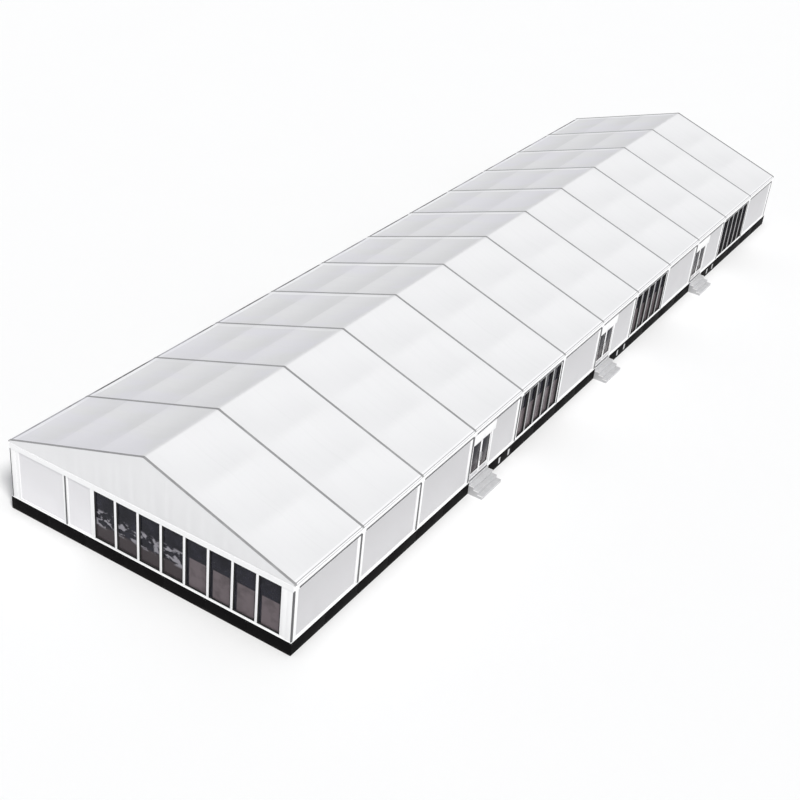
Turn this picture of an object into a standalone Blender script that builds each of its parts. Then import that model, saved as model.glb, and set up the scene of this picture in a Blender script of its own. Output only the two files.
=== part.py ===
"""Clear-span marquee tent, twelve bays long, modelled at half of its real size.

The tent stands on the XY plane with its centre at the origin. +Y runs along the ridge to the rear
gable, and +X points to the long wall that has the doors. Sizes are real ones times SCALE.
"""

import math

import bmesh
import bpy
from mathutils import Matrix

# Half size, because the real tent is sixty metres long
SCALE = 0.5
# Gap between pieces that touch, and the distance under which two points are one
FIT = 0.0003
WELD = 0.00001

# Bays and cross section
BAY = 5.0 * SCALE
BAYS = 12
SPAN = 16.4 * SCALE
RISE = 2.7 * SCALE
WALL_RISE = 3.2 * SCALE

# Raised floor
BASE_HEIGHT = 0.64 * SCALE
DECK_THICKNESS = 0.06 * SCALE
LEDGE = 0.06 * SCALE
BEARER = 0.15 * SCALE
BEARER_RUNS = 5

# Legs, rafters and purlins
LEG_WIDTH = 0.10 * SCALE
LEG_DEPTH = 0.22 * SCALE
LEG_INSET = 0.01 * SCALE
LEG_TONGUE = 0.025 * SCALE
RAFTER_DEPTH = 0.22 * SCALE
PURLIN_WIDTH = 0.08 * SCALE
PURLIN_DEPTH = 0.10 * SCALE
PURLIN_FROM_RIDGE = 0.12 * SCALE
EAVE_TIP = 0.055 * SCALE
EAVE_OUT = 0.03 * SCALE

# Walls
WALL_DEPTH = 0.10 * SCALE
EAVE_BAND = 0.40 * SCALE
RAIL = 0.10 * SCALE
MULLION = 0.14 * SCALE
STILE = 0.12 * SCALE
PANEL_THICKNESS = 0.04 * SCALE
GLASS_THICKNESS = 0.02 * SCALE
SHEET_THICKNESS = 0.02 * SCALE
GABLE_FRAME_DEPTH = 0.08 * SCALE
TIE_DROP = 0.14 * SCALE
SIDE_PANES = 5

# Front gable wall: eight panes from the right corner, then two plain panels
FRONT_PANES = 8
FRONT_PANE_PITCH = 1.332 * SCALE
FRONT_STILE = 0.306 * SCALE
FRONT_POST_X = -4.72 * SCALE
REAR_BAYS = 4

# Doors
DOOR_HEIGHT = 2.2 * SCALE
DOOR_OPENING = 1.90 * SCALE
JAMB = 0.07 * SCALE
LEAF_THICKNESS = 0.05 * SCALE
LEAF_GAP = 0.022 * SCALE
LEAF_RISE = 0.02 * SCALE
LEAF_STILE = 0.09 * SCALE
LEAF_KICK = 0.30 * SCALE
LEAF_PANE = 0.016 * SCALE
PIVOT_INSET = 0.03 * SCALE
PIVOT_RADIUS = 0.012 * SCALE
HEADER_WIDTH = 2.25 * SCALE
HEADER_PROUD = 0.05 * SCALE
DOOR_WALL_THICKNESS = 0.06 * SCALE

# Entrance steps
RISER = 0.175 * SCALE
TREAD = 0.28 * SCALE
TREADS = 3
STEPS_WIDTH = 2.0 * SCALE

# What fills each bay of the door wall, from the front
PLAIN_BAYS = (1, 2, 3, 6, 9, 12)
GLAZED_BAYS = (5, 8, 11)
DOOR_BAYS = (4, 7, 10)

# Values that follow from the sizes above
HALF = SPAN / 2
HALF_LENGTH = BAYS * BAY / 2
FLOOR = BASE_HEIGHT + DECK_THICKNESS
EAVE = FLOOR + WALL_RISE
RIDGE = EAVE + RISE
SLOPE = RISE / HALF
PITCH = math.atan(SLOPE)
RAFTER_DROP = RAFTER_DEPTH / math.cos(PITCH)
SHEET_DROP = SHEET_THICKNESS / math.cos(PITCH)
WALL_TOP = EAVE - EAVE_BAND
WALL_INNER = HALF - WALL_DEPTH
LEG_INNER = WALL_INNER - LEG_DEPTH
DOOR_TOP = FLOOR + DOOR_HEIGHT
END = HALF_LENGTH + LEG_WIDTH / 2

# Colour, roughness and metallic value of each finish
FINISHES = {
    "white_roof_sheet": ((0.90, 0.90, 0.91), 0.55, 0.0),
    "white_wall_panel": ((0.80, 0.80, 0.82), 0.50, 0.0),
    "white_frame_coat": ((0.86, 0.86, 0.87), 0.40, 0.0),
    "grey_aluminium": ((0.45, 0.45, 0.46), 0.45, 0.9),
    "dark_glass": ((0.03, 0.025, 0.03), 0.08, 0.0),
    "black_base_board": ((0.012, 0.012, 0.012), 0.60, 0.0),
    "grey_floor_board": ((0.35, 0.34, 0.33), 0.70, 0.0),
    "grey_step_board": ((0.55, 0.55, 0.55), 0.75, 0.0),
}


def clear_scene():
    for thing in list(bpy.data.objects):
        bpy.data.objects.remove(thing, do_unlink=True)


def new_collection(name, hidden=False):
    collection = bpy.data.collections.new(name)
    collection.hide_render = hidden
    bpy.context.scene.collection.children.link(collection)
    return collection


clear_scene()
TENT = new_collection("marquee_tent")
TOOLS = new_collection("marquee_tent_tools", hidden=True)


def finish(thing, slot):
    """Gives an object the named finish, which objects with the same finish share."""
    material = bpy.data.materials.get(slot)
    if material is None:
        colour, roughness, metallic = FINISHES[slot]
        material = bpy.data.materials.new(slot)
        material.use_nodes = True
        shader = material.node_tree.nodes["Principled BSDF"]
        shader.inputs["Base Color"].default_value = (*colour, 1.0)
        shader.inputs["Roughness"].default_value = roughness
        shader.inputs["Metallic"].default_value = metallic
    thing.data.materials.clear()
    thing.data.materials.append(material)


def frame_y(line):
    """Place along the tent of a frame line, counted from 0 at the front gable."""
    return line * BAY - HALF_LENGTH


def under_rafter(x):
    """Height of a rafter's underside at x."""
    return EAVE + (HALF - abs(x)) * SLOPE - RAFTER_DROP


def rectangle(left, right, low, high):
    return [(left, low), (right, low), (right, high), (left, high)]


def mirrored(points):
    return [(-x, z) for x, z in reversed(points)]


def box(name, low, high):
    """A closed box between two opposite corners, with its origin at its centre."""
    mesh = bpy.data.meshes.new(name)
    shape = bmesh.new()
    bmesh.ops.create_cube(shape, size=1.0)
    size = [b - a for a, b in zip(low, high)]
    bmesh.ops.scale(shape, vec=size, verts=shape.verts)
    shape.to_mesh(mesh)
    shape.free()
    thing = bpy.data.objects.new(name, mesh)
    thing.location = [(a + b) / 2 for a, b in zip(low, high)]
    return thing


# Turns a flat outline's plane into the plane of a long wall, of a gable, or of the floor
WALL_PLANE = Matrix(((0, 0, 1), (1, 0, 0), (0, 1, 0))).to_4x4()
GABLE_PLANE = Matrix(((1, 0, 0), (0, 0, -1), (0, 1, 0))).to_4x4()
FLOOR_PLANE = Matrix.Identity(4)


def plane_offset(plane, near, far):
    """Moves a flat shape to the middle of its thickness; the gable plane's normal points to -Y."""
    middle = (near + far) / 2 * (-1 if plane is GABLE_PLANE else 1)
    return plane @ Matrix.Translation((0, 0, middle))


def lattice(name, plane, near, far, uprights, rails):
    """A flat frame of crossing bars, given as (start, stop) pairs along its plane's two axes."""
    across = sorted({edge for bar in uprights for edge in bar})
    along = sorted({edge for bar in rails for edge in bar})
    mesh = bpy.data.meshes.new(name)
    shape = bmesh.new()
    bmesh.ops.create_grid(shape, x_segments=len(across) - 1, y_segments=len(along) - 1, size=0.5)
    for vertex in shape.verts:
        column = round((vertex.co.x + 0.5) * (len(across) - 1))
        row = round((vertex.co.y + 0.5) * (len(along) - 1))
        vertex.co = (across[column], along[row], 0.0)
    gaps = []
    for face in shape.faces:
        u, v, _ = face.calc_center_median()
        in_upright = any(start < u < stop for start, stop in uprights)
        in_rail = any(start < v < stop for start, stop in rails)
        if not in_upright and not in_rail:
            gaps.append(face)
    bmesh.ops.delete(shape, geom=gaps, context="FACES")
    shape.to_mesh(mesh)
    shape.free()
    frame = bpy.data.objects.new(name, mesh)
    frame.matrix_world = plane_offset(plane, near, far)
    solid = frame.modifiers.new("thickness", "SOLIDIFY")
    solid.thickness = far - near
    solid.offset = 0.0
    return frame


def plate(name, plane, near, far, outline, holes=()):
    """A flat outline with holes, made solid between two places along its plane's normal."""
    curve = bpy.data.curves.new(name, "CURVE")
    curve.dimensions = "2D"
    curve.fill_mode = "BOTH"
    curve.extrude = (far - near) / 2
    for points in (outline, *holes):
        spline = curve.splines.new("POLY")
        spline.points.add(len(points) - 1)
        for point, (u, v) in zip(spline.points, points):
            point.co = (u, v, 0.0, 1.0)
        spline.use_cyclic_u = True
    drawn = bpy.data.objects.new(f"{name}_outline", curve)
    TOOLS.objects.link(drawn)
    drawn.matrix_world = plane_offset(plane, near, far)
    bpy.context.view_layer.update()
    graph = bpy.context.evaluated_depsgraph_get()
    mesh = bpy.data.meshes.new_from_object(drawn.evaluated_get(graph))
    shape = bmesh.new()
    shape.from_mesh(mesh)
    bmesh.ops.remove_doubles(shape, verts=shape.verts, dist=WELD)
    bmesh.ops.recalc_face_normals(shape, faces=shape.faces)
    shape.to_mesh(mesh)
    shape.free()
    solid = bpy.data.objects.new(name, mesh)
    solid.matrix_world = drawn.matrix_world.copy()
    bpy.data.objects.remove(drawn, do_unlink=True)
    return solid


def place(thing, slot):
    """Puts a finished piece into the tent's collection."""
    TENT.objects.link(thing)
    finish(thing, slot)
    return thing


def join(main, others):
    """Makes one closed body of a piece and the pieces that cross it."""
    for index, other in enumerate(others):
        other.name = f"{main.name}_tool_{index}"
        other.display_type = "WIRE"
        other.hide_render = True
        TOOLS.objects.link(other)
        union = main.modifiers.new(f"union_{index}", "BOOLEAN")
        union.operation = "UNION"
        union.solver = "EXACT"
        union.object = other
    return main


def base_frame():
    """Bearers of the raised floor in one grid, with the base boards as its rim."""
    half_x = HALF + LEDGE
    half_y = END + LEDGE
    pitch = (2 * half_x - BEARER) / BEARER_RUNS
    starts = [-half_x + run * pitch for run in range(BEARER_RUNS + 1)]
    long_bars = [(start, start + BEARER) for start in starts]
    cross_bars = [(-half_y, -half_y + BEARER), (half_y - BEARER, half_y)]
    for line in range(1, BAYS):
        cross_bars.append((frame_y(line) - BEARER / 2, frame_y(line) + BEARER / 2))
    grid = lattice("base_frame", FLOOR_PLANE, 0.0, BASE_HEIGHT, long_bars, cross_bars)
    place(grid, "black_base_board")


def floor_deck():
    low = (-HALF - LEDGE, -END - LEDGE, BASE_HEIGHT + FIT)
    high = (HALF + LEDGE, END + LEDGE, FLOOR)
    place(box("floor_deck", low, high), "grey_floor_board")


def leg_outline():
    """Side view of a leg behind the +X wall: cut to the rafter's slope, with a tongue into the wall."""
    outer = WALL_INNER - FIT
    tongue = WALL_INNER + LEG_TONGUE
    return [
        (LEG_INNER, FLOOR + FIT),
        (outer, FLOOR + FIT),
        (outer, FLOOR + 2 * RAIL),
        (tongue, FLOOR + 2 * RAIL),
        (tongue, WALL_TOP - 2 * RAIL),
        (outer, WALL_TOP - 2 * RAIL),
        (outer, under_rafter(outer) - FIT),
        (LEG_INNER, under_rafter(LEG_INNER) - FIT),
    ]


def leg(line, side):
    outline = leg_outline() if side > 0 else mirrored(leg_outline())
    near = frame_y(line) - LEG_WIDTH / 2 + LEG_INSET
    return plate(f"leg_{line}", GABLE_PLANE, near, near + LEG_WIDTH - 2 * LEG_INSET, outline)


def post(line):
    """Where a wall post stands along the tent."""
    return frame_y(line) - LEG_WIDTH / 2, frame_y(line) + LEG_WIDTH / 2


def glazing_bars(bay):
    """Mullions of a glazed bay, with the wider stiles that meet its posts."""
    left, right = post(bay - 1)[1] + STILE, post(bay)[0] - STILE
    pitch = (right - left + MULLION) / SIDE_PANES
    stops = [left + pane * pitch for pane in range(1, SIDE_PANES)]
    bars = [(stop - MULLION, stop) for stop in stops]
    return [(left - STILE, left), *bars, (right, right + STILE)]


def wall_frame(name, first, last, side, glazed):
    """Legs, rails and mullions between two frame lines of a long wall, as one flat frame."""
    uprights = [post(line) for line in range(first, last + 1)]
    for bay in range(first + 1, last + 1):
        if bay in glazed:
            uprights += glazing_bars(bay)
    rails = [(FLOOR + FIT, FLOOR + FIT + RAIL), (WALL_TOP - RAIL, WALL_TOP)]
    near, far = sorted((side * WALL_INNER, side * HALF))
    frame = lattice(name, WALL_PLANE, near, far, uprights, rails)
    place(join(frame, [leg(line, side) for line in range(first, last + 1)]), "grey_aluminium")


def wall_panel(name, bay, side):
    """A plain panel held in the frame of one bay."""
    left, right = post(bay - 1)[1] + FIT, post(bay)[0] - FIT
    middle = side * (HALF - WALL_DEPTH / 2)
    half = PANEL_THICKNESS / 2
    corner = (middle - half, left, FLOOR + RAIL + 2 * FIT)
    place(box(name, corner, (middle + half, right, WALL_TOP - RAIL - FIT)), "white_wall_panel")


def wall_glass(name, bay, side):
    """One sheet of glass behind the mullions of a bay, between its legs."""
    left = frame_y(bay - 1) + LEG_WIDTH / 2 + FIT
    right = frame_y(bay) - LEG_WIDTH / 2 - FIT
    near, far = sorted((side * (WALL_INNER - FIT), side * (WALL_INNER - FIT - GLASS_THICKNESS)))
    corner = (near, left, FLOOR + FIT)
    place(box(name, corner, (far, right, WALL_TOP - FIT)), "dark_glass")


def eave_beam(name, side):
    """The beam over a long wall, whose face is the pale band under the roof's edge."""
    near, far = sorted((side * WALL_INNER, side * HALF))
    low = (near, -END, WALL_TOP + FIT)
    place(box(name, low, (far, END, EAVE - EAVE_TIP - FIT)), "white_frame_coat")


def rafter_outline():
    """Side view of a +X rafter, from its thin tip over the eave beam to the ridge."""
    tip = HALF + EAVE_OUT
    tip_top = EAVE - EAVE_OUT * SLOPE
    shoulder = WALL_INNER - FIT
    return [
        (tip, tip_top),
        (FIT / 2, RIDGE - FIT / 2 * SLOPE),
        (FIT / 2, RIDGE - RAFTER_DROP),
        (shoulder, under_rafter(shoulder)),
        (shoulder, EAVE - EAVE_TIP),
        (tip, EAVE - EAVE_TIP),
    ]


def purlin(name, side, along):
    """A purlin at a distance up the slope from the eave, just under the roof sheets."""
    corner = (PURLIN_WIDTH / 2, HALF_LENGTH, PURLIN_DEPTH / 2)
    purlin_box = box(name, [-size for size in corner], corner)
    depth = SHEET_THICKNESS + FIT + PURLIN_DEPTH / 2
    x = HALF - along * math.cos(PITCH) - depth * math.sin(PITCH)
    z = EAVE + along * math.sin(PITCH) - depth * math.cos(PITCH)
    purlin_box.location = (side * x, 0.0, z)
    purlin_box.rotation_euler = (0.0, side * PITCH, 0.0)
    return purlin_box


def roof_frame(name, side):
    """Rafters and purlins of one slope, fused where they cross."""
    outline = rafter_outline() if side > 0 else mirrored(rafter_outline())
    length = HALF / math.cos(PITCH)
    runs = (length / 3, length * 2 / 3, length - PURLIN_FROM_RIDGE)
    purlins = [purlin(f"purlin_{index}", side, along) for index, along in enumerate(runs)]
    rafters = []
    for line in range(BAYS + 1):
        near = frame_y(line) - LEG_WIDTH / 2
        rafters.append(plate(f"rafter_{line}", GABLE_PLANE, near, near + LEG_WIDTH, outline))
    purlins[0].name = name
    place(join(purlins[0], purlins[1:] + rafters), "grey_aluminium")


def roof_sheet(bay):
    """The fabric of one bay, from eave to eave over the ridge, held between two rafters."""
    tip = HALF + EAVE_OUT
    tip_top = EAVE - EAVE_OUT * SLOPE
    top = [(tip, tip_top), (0.0, RIDGE), (-tip, tip_top)]
    outline = top + [(x, z - SHEET_DROP) for x, z in reversed(top)]
    near = frame_y(bay - 1) + LEG_WIDTH / 2 + FIT
    far = frame_y(bay) - LEG_WIDTH / 2 - FIT
    place(plate(f"roof_sheet_{bay:02d}", GABLE_PLANE, near, far, outline), "white_roof_sheet")


def door_span(bay):
    """The two sides of a doorway, along the tent."""
    start = frame_y(bay - 1) + LEG_WIDTH / 2 + JAMB
    return start, start + DOOR_OPENING


def door_wall(bay):
    """Wall of a door bay: a jamb, the panel beyond the doorway, and the header box over it."""
    left = frame_y(bay - 1) + LEG_WIDTH / 2 + FIT
    right = frame_y(bay) - LEG_WIDTH / 2 - FIT
    low, high = FLOOR + FIT, WALL_TOP - FIT
    start, stop = door_span(bay)
    doorway = [(start, low), (start, DOOR_TOP), (stop, DOOR_TOP), (stop, low)]
    outline = [(left, low), *doorway, (right, low), (right, high), (left, high)]
    middle = HALF - WALL_DEPTH / 2
    half = DOOR_WALL_THICKNESS / 2
    wall = plate(f"door_wall_{bay:02d}", WALL_PLANE, middle - half, middle + half, outline)
    header_low = (middle, left + LEG_INSET, DOOR_TOP + LEG_INSET)
    header_high = (HALF + HEADER_PROUD, left + HEADER_WIDTH, high - LEG_INSET)
    header = box("header", header_low, header_high)
    place(join(wall, [header]), "white_wall_panel")


def door_leaf(bay, position, hinge_y, free_y):
    """A glazed leaf on a pivot at its foot and head; its origin is on the pivot's axis."""
    low, high = FLOOR + LEAF_RISE, DOOR_TOP - LEAF_RISE
    near, far = sorted((hinge_y, free_y))
    middle = HALF - WALL_DEPTH / 2
    toward = 1 if free_y > hinge_y else -1
    axis_y = hinge_y + toward * PIVOT_INSET
    pane = rectangle(near + LEAF_STILE, far - LEAF_STILE, low + LEAF_KICK, high - LEAF_STILE)
    outline = rectangle(near, far, low, high)
    half = LEAF_THICKNESS / 2
    name = f"door_leaf_{bay:02d}_{position}"
    leaf = plate(name, WALL_PLANE, middle - half, middle + half, outline, [pane])
    (pane_near, pane_low), _, (pane_far, pane_high), _ = pane
    lap = LEAF_STILE / 2
    glass = box(
        "leaf_pane",
        (middle - LEAF_PANE / 2, pane_near - lap, pane_low - lap),
        (middle + LEAF_PANE / 2, pane_far + lap, pane_high + lap),
    )
    pins = []
    for foot, head in ((FLOOR + FIT, low + lap), (high - lap, DOOR_TOP - FIT)):
        pin = box(
            "pivot",
            (middle - PIVOT_RADIUS, axis_y - PIVOT_RADIUS, foot),
            (middle + PIVOT_RADIUS, axis_y + PIVOT_RADIUS, head),
        )
        pins.append(pin)
    place(join(leaf, [glass, *pins]), "dark_glass")


def entrance_steps(bay):
    """Three treads in front of a doorway, one riser short of the floor."""
    start = HALF + LEDGE + FIT
    outline = [(start, 0.0)]
    for step in range(TREADS):
        nosing = start + (TREADS - step) * TREAD
        outline += [(nosing, step * RISER), (nosing, (step + 1) * RISER)]
    outline.append((start, TREADS * RISER))
    side_a, side_b = door_span(bay)
    middle = (side_a + side_b) / 2
    near, far = middle - STEPS_WIDTH / 2, middle + STEPS_WIDTH / 2
    place(plate(f"entrance_steps_{bay:02d}", GABLE_PLANE, near, far, outline), "grey_step_board")


def door_wall_side():
    """The +X wall: four framed stretches, with the three door bays between them."""
    for letter, first, last in (("a", 0, 3), ("b", 4, 6), ("c", 7, 9), ("d", 10, 12)):
        wall_frame(f"right_wall_frame_{letter}", first, last, 1, GLAZED_BAYS)
    for bay in PLAIN_BAYS:
        wall_panel(f"right_panel_{bay:02d}", bay, 1)
    for bay in GLAZED_BAYS:
        wall_glass(f"right_glass_{bay:02d}", bay, 1)
    for bay in DOOR_BAYS:
        door_wall(bay)
        start, stop = door_span(bay)
        middle = (start + stop) / 2
        door_leaf(bay, "front", start + LEAF_GAP, middle - LEAF_GAP / 2)
        door_leaf(bay, "rear", stop - LEAF_GAP, middle + LEAF_GAP / 2)
        entrance_steps(bay)


def plain_side():
    """The -X wall: one skin with glazed stretches, on a row of legs with rails behind it."""
    skin = PANEL_THICKNESS
    rails = [(FLOOR + FIT, FLOOR + FIT + RAIL), (WALL_TOP - RAIL, WALL_TOP)]
    edges = [-END]
    mullions = []
    for bay in GLAZED_BAYS:
        bars = glazing_bars(bay)
        edges += [bars[0][1], bars[-1][0]]
        mullions += bars[1:-1]
    edges.append(END)
    stretches = list(zip(edges[::2], edges[1::2]))
    wall = lattice("left_wall", WALL_PLANE, -HALF, -HALF + skin, stretches + mullions, rails)
    place(wall, "white_wall_panel")
    first, last = frame_y(GLAZED_BAYS[0] - 1), frame_y(GLAZED_BAYS[-1])
    near = -HALF + skin + FIT
    far = near + GLASS_THICKNESS
    place(box("left_glass", (near, first, FLOOR + FIT), (far, last, WALL_TOP - FIT)), "dark_glass")
    posts = [post(line) for line in range(BAYS + 1)]
    frame = lattice("left_wall_frame", WALL_PLANE, far + FIT, -WALL_INNER, posts, rails)
    place(join(frame, [leg(line, -1) for line in range(BAYS + 1)]), "grey_aluminium")


def gable_face(side):
    """Nearest and farthest place of a gable frame's depth, its outer face flush with the rafter."""
    outer = side * END
    return sorted((outer, outer - side * GABLE_FRAME_DEPTH))


def gable_sheet(name, side):
    """The fabric triangle between the tie beam and the end rafters."""
    low = EAVE - TIE_DROP + FIT
    foot = LEG_INNER - FIT
    shoulder = under_rafter(foot) - FIT
    near, far = gable_face(side)
    middle = (near + far) / 2
    half = SHEET_THICKNESS / 2
    peak = under_rafter(0.0) - FIT
    outline = [(-foot, low), (foot, low), (foot, shoulder), (0.0, peak), (-foot, shoulder)]
    place(plate(name, GABLE_PLANE, middle - half, middle + half, outline), "white_roof_sheet")


def gable_frame(name, side, uprights, stile=STILE):
    """Tie beam, rail, posts and mullions of a gable wall, as one flat frame."""
    reach = LEG_INNER - FIT
    near, far = gable_face(side)
    bars = [(-reach, -reach + STILE), *uprights, (reach - stile, reach)]
    rails = [(FLOOR + FIT, FLOOR + FIT + RAIL), (WALL_TOP, EAVE - TIE_DROP)]
    place(lattice(name, GABLE_PLANE, near, far, bars, rails), "white_frame_coat")


def gable_panel(name, side, left, right):
    """A plain panel held in one opening of a gable frame."""
    near, far = gable_face(side)
    middle = (near + far) / 2
    half = PANEL_THICKNESS / 2
    corner = (left + FIT, middle - half, FLOOR + RAIL + 2 * FIT)
    place(box(name, corner, (right - FIT, middle + half, WALL_TOP - FIT)), "white_wall_panel")


def front_gable():
    """Front wall: eight panes from the right corner, two plain panels, and the fabric over them."""
    right = LEG_INNER - FIT - FRONT_STILE
    mullions = []
    for pane in range(1, FRONT_PANES + 1):
        stop = right - pane * FRONT_PANE_PITCH + MULLION
        mullions.append((stop - MULLION, stop))
    glazing_edge = mullions[-1][0]
    panel_post = (FRONT_POST_X - LEG_WIDTH / 2, FRONT_POST_X + LEG_WIDTH / 2)
    gable_frame("front_wall_frame", -1, [*mullions, panel_post], FRONT_STILE)
    gable_panel("front_panel_inner", -1, panel_post[1], glazing_edge)
    gable_panel("front_panel_corner", -1, -LEG_INNER + FIT + STILE, panel_post[0])
    behind = -END + GABLE_FRAME_DEPTH + FIT
    corner = (glazing_edge, behind, FLOOR + FIT)
    reach = (LEG_INNER - FIT, behind + GLASS_THICKNESS, WALL_TOP + RAIL)
    place(box("front_glass", corner, reach), "dark_glass")
    gable_sheet("front_gable_sheet", -1)


def rear_gable():
    """Rear wall: posts in front of one plain skin, and the fabric over them."""
    spacing = 2 * LEG_INNER / REAR_BAYS
    posts = []
    for index in range(1, REAR_BAYS):
        middle = -LEG_INNER + index * spacing
        posts.append((middle - LEG_WIDTH / 2, middle + LEG_WIDTH / 2))
    gable_frame("rear_wall_frame", 1, posts)
    behind = END - GABLE_FRAME_DEPTH - FIT
    low = (-LEG_INNER + FIT, behind - PANEL_THICKNESS, FLOOR + FIT)
    place(box("rear_wall", low, (LEG_INNER - FIT, behind, WALL_TOP + RAIL)), "white_wall_panel")
    gable_sheet("rear_gable_sheet", 1)


def main():
    base_frame()
    floor_deck()
    door_wall_side()
    plain_side()
    for name, side in (("right", 1), ("left", -1)):
        eave_beam(f"eave_beam_{name}", side)
        roof_frame(f"roof_frame_{name}", side)
    for bay in range(1, BAYS + 1):
        roof_sheet(bay)
    front_gable()
    rear_gable()
    bpy.context.view_layer.update()


main()
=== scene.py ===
"""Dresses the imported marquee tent: fabric, trims, glazing, door leaves, steps, boards and finishes.

Run as a script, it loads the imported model, makes each piece with its own operator and sets the stage.
Places are in metres in the model's frame: +Y runs along the ridge to the rear gable, +X points to the
wall with the doors, and the model stands at z = 0.
"""

import bmesh
import bpy
import numpy as np
from bpy.props import FloatProperty, FloatVectorProperty, IntProperty, PointerProperty
from mathutils import Matrix, Vector


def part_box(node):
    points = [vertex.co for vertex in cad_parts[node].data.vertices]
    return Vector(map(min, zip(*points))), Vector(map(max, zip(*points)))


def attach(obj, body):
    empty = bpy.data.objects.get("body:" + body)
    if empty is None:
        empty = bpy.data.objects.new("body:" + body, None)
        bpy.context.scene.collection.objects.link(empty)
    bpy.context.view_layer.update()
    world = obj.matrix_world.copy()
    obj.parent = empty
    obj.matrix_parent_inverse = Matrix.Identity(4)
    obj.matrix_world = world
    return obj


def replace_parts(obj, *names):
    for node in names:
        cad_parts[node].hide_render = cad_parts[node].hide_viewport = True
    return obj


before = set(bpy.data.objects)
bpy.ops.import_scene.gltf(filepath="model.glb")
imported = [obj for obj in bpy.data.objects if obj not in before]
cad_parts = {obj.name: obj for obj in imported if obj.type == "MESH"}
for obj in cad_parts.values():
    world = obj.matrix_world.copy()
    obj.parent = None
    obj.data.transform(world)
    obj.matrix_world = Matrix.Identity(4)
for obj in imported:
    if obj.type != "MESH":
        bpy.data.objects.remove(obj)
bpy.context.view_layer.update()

bl_info = {
    "name": "Marquee tent dressing",
    "version": (1, 0, 0),
    "blender": (4, 5, 0),
    "location": "3D View > Sidebar > Marquee",
    "description": "Fabric, trims, glazing, doors, steps and finishes of a clear-span marquee",
    "category": "Add Mesh",
}

SEAT = 0.0003  # from the face that carries a cover to the cover's back
JOINT = 0.001  # between neighbouring covers
POST_STEP = 0.002  # how far post covers stand out over the covers beside them
SCREW = 0.004  # radius of a screw's head
SAME = 0.0005  # points that differ by less are taken to lie on one face


def corners_of(node):
    """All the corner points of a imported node."""
    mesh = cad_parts[node].data
    points = np.empty(len(mesh.vertices) * 3, dtype=np.float32)
    mesh.vertices.foreach_get("co", points)
    return points.reshape(-1, 3).astype(float)


def levels(places):
    """The different values among places, each rounded to a tenth of a millimetre."""
    return np.unique(np.round(places, 4))


def numbered(start):
    """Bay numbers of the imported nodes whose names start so."""
    return [int(name[-2:]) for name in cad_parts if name.startswith(start)]


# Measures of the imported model, which give every place below
BEAM_LOW, BEAM_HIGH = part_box("eave_beam_right")
GABLE_LOW, GABLE_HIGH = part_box("front_wall_frame")
SHEET_LOW, SHEET_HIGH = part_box("roof_sheet_01")
RAFTERS_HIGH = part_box("roof_frame_right")[1]
DECK_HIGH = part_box("floor_deck")[1]
BASE_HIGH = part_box("base_frame")[1]
TENT = "tent"
GLAZED_BAYS = numbered("right_glass_")
DOOR_BAYS = numbered("door_wall_")
PLAIN_BAYS = numbered("right_panel_")
BAYS = len(numbered("roof_sheet_"))
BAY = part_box("roof_sheet_02")[0].y - SHEET_LOW.y
HALF_LENGTH = BAYS * BAY / 2
END = RAFTERS_HIGH.y
POST = 2 * (END - HALF_LENGTH)
HALF = BEAM_HIGH.x
WALL_DEPTH = BEAM_HIGH.x - BEAM_LOW.x
WALL_TOP = BEAM_LOW.z
FLOOR = DECK_HIGH.z
GABLE_REACH = GABLE_HIGH.x
GABLE_DEPTH = GABLE_HIGH.y - GABLE_LOW.y
TIE_TOP = GABLE_HIGH.z
RIDGE = RAFTERS_HIGH.z
EAVE_X = SHEET_HIGH.x
SHEET_CORNERS = corners_of("roof_sheet_01")
EAVE_EDGE = SHEET_CORNERS[SHEET_CORNERS[:, 0] > EAVE_X - SAME, 2].max()
PITCH = np.arctan((RIDGE - EAVE_EDGE) / EAVE_X)


def frame_y(line):
    """Place along the tent of a frame line, counted from 0 at the front gable."""
    return line * BAY - HALF_LENGTH


def bay_span(bay):
    """The clear span between the posts of a bay."""
    return frame_y(bay - 1) + POST / 2, frame_y(bay) - POST / 2


def openings_in(node, along, across, face_at, low, high):
    """Openings of a frame as (start, stop), read from the corners of its bars on its outer face."""
    points = corners_of(node)
    on_face = np.abs(points[:, across] - face_at) < SAME
    inside = (points[:, along] > low) & (points[:, along] < high)
    edges = levels(points[on_face & inside, along])
    return list(zip(edges[::2], edges[1::2]))


def gable_openings(name):
    """Openings of the front or rear wall frame, from the left."""
    reach = GABLE_REACH - 0.001
    return openings_in(f"{name}_wall_frame", 0, 1, END if name == "rear" else -END, -reach, reach)


def side_panes(bay):
    """Openings between the mullions of a glazed bay."""
    start, stop = bay_span(bay)
    frames = [name for name in sorted(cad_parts) if name.startswith("right_wall_frame")]
    node = next(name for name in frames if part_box(name)[0].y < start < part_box(name)[1].y)
    return openings_in(node, 1, 0, HALF, start + 0.001, stop - 0.001)


def length(label, text, default):
    return FloatProperty(name=label, description=text, default=default, min=0.0, unit="LENGTH")


def number(label, text, default):
    return IntProperty(name=label, description=text, default=default, min=2)


def colour(label, text, default):
    return FloatVectorProperty(
        name=label, description=text, default=default, min=0.0, max=1.0, size=3, subtype="COLOR"
    )


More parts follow.
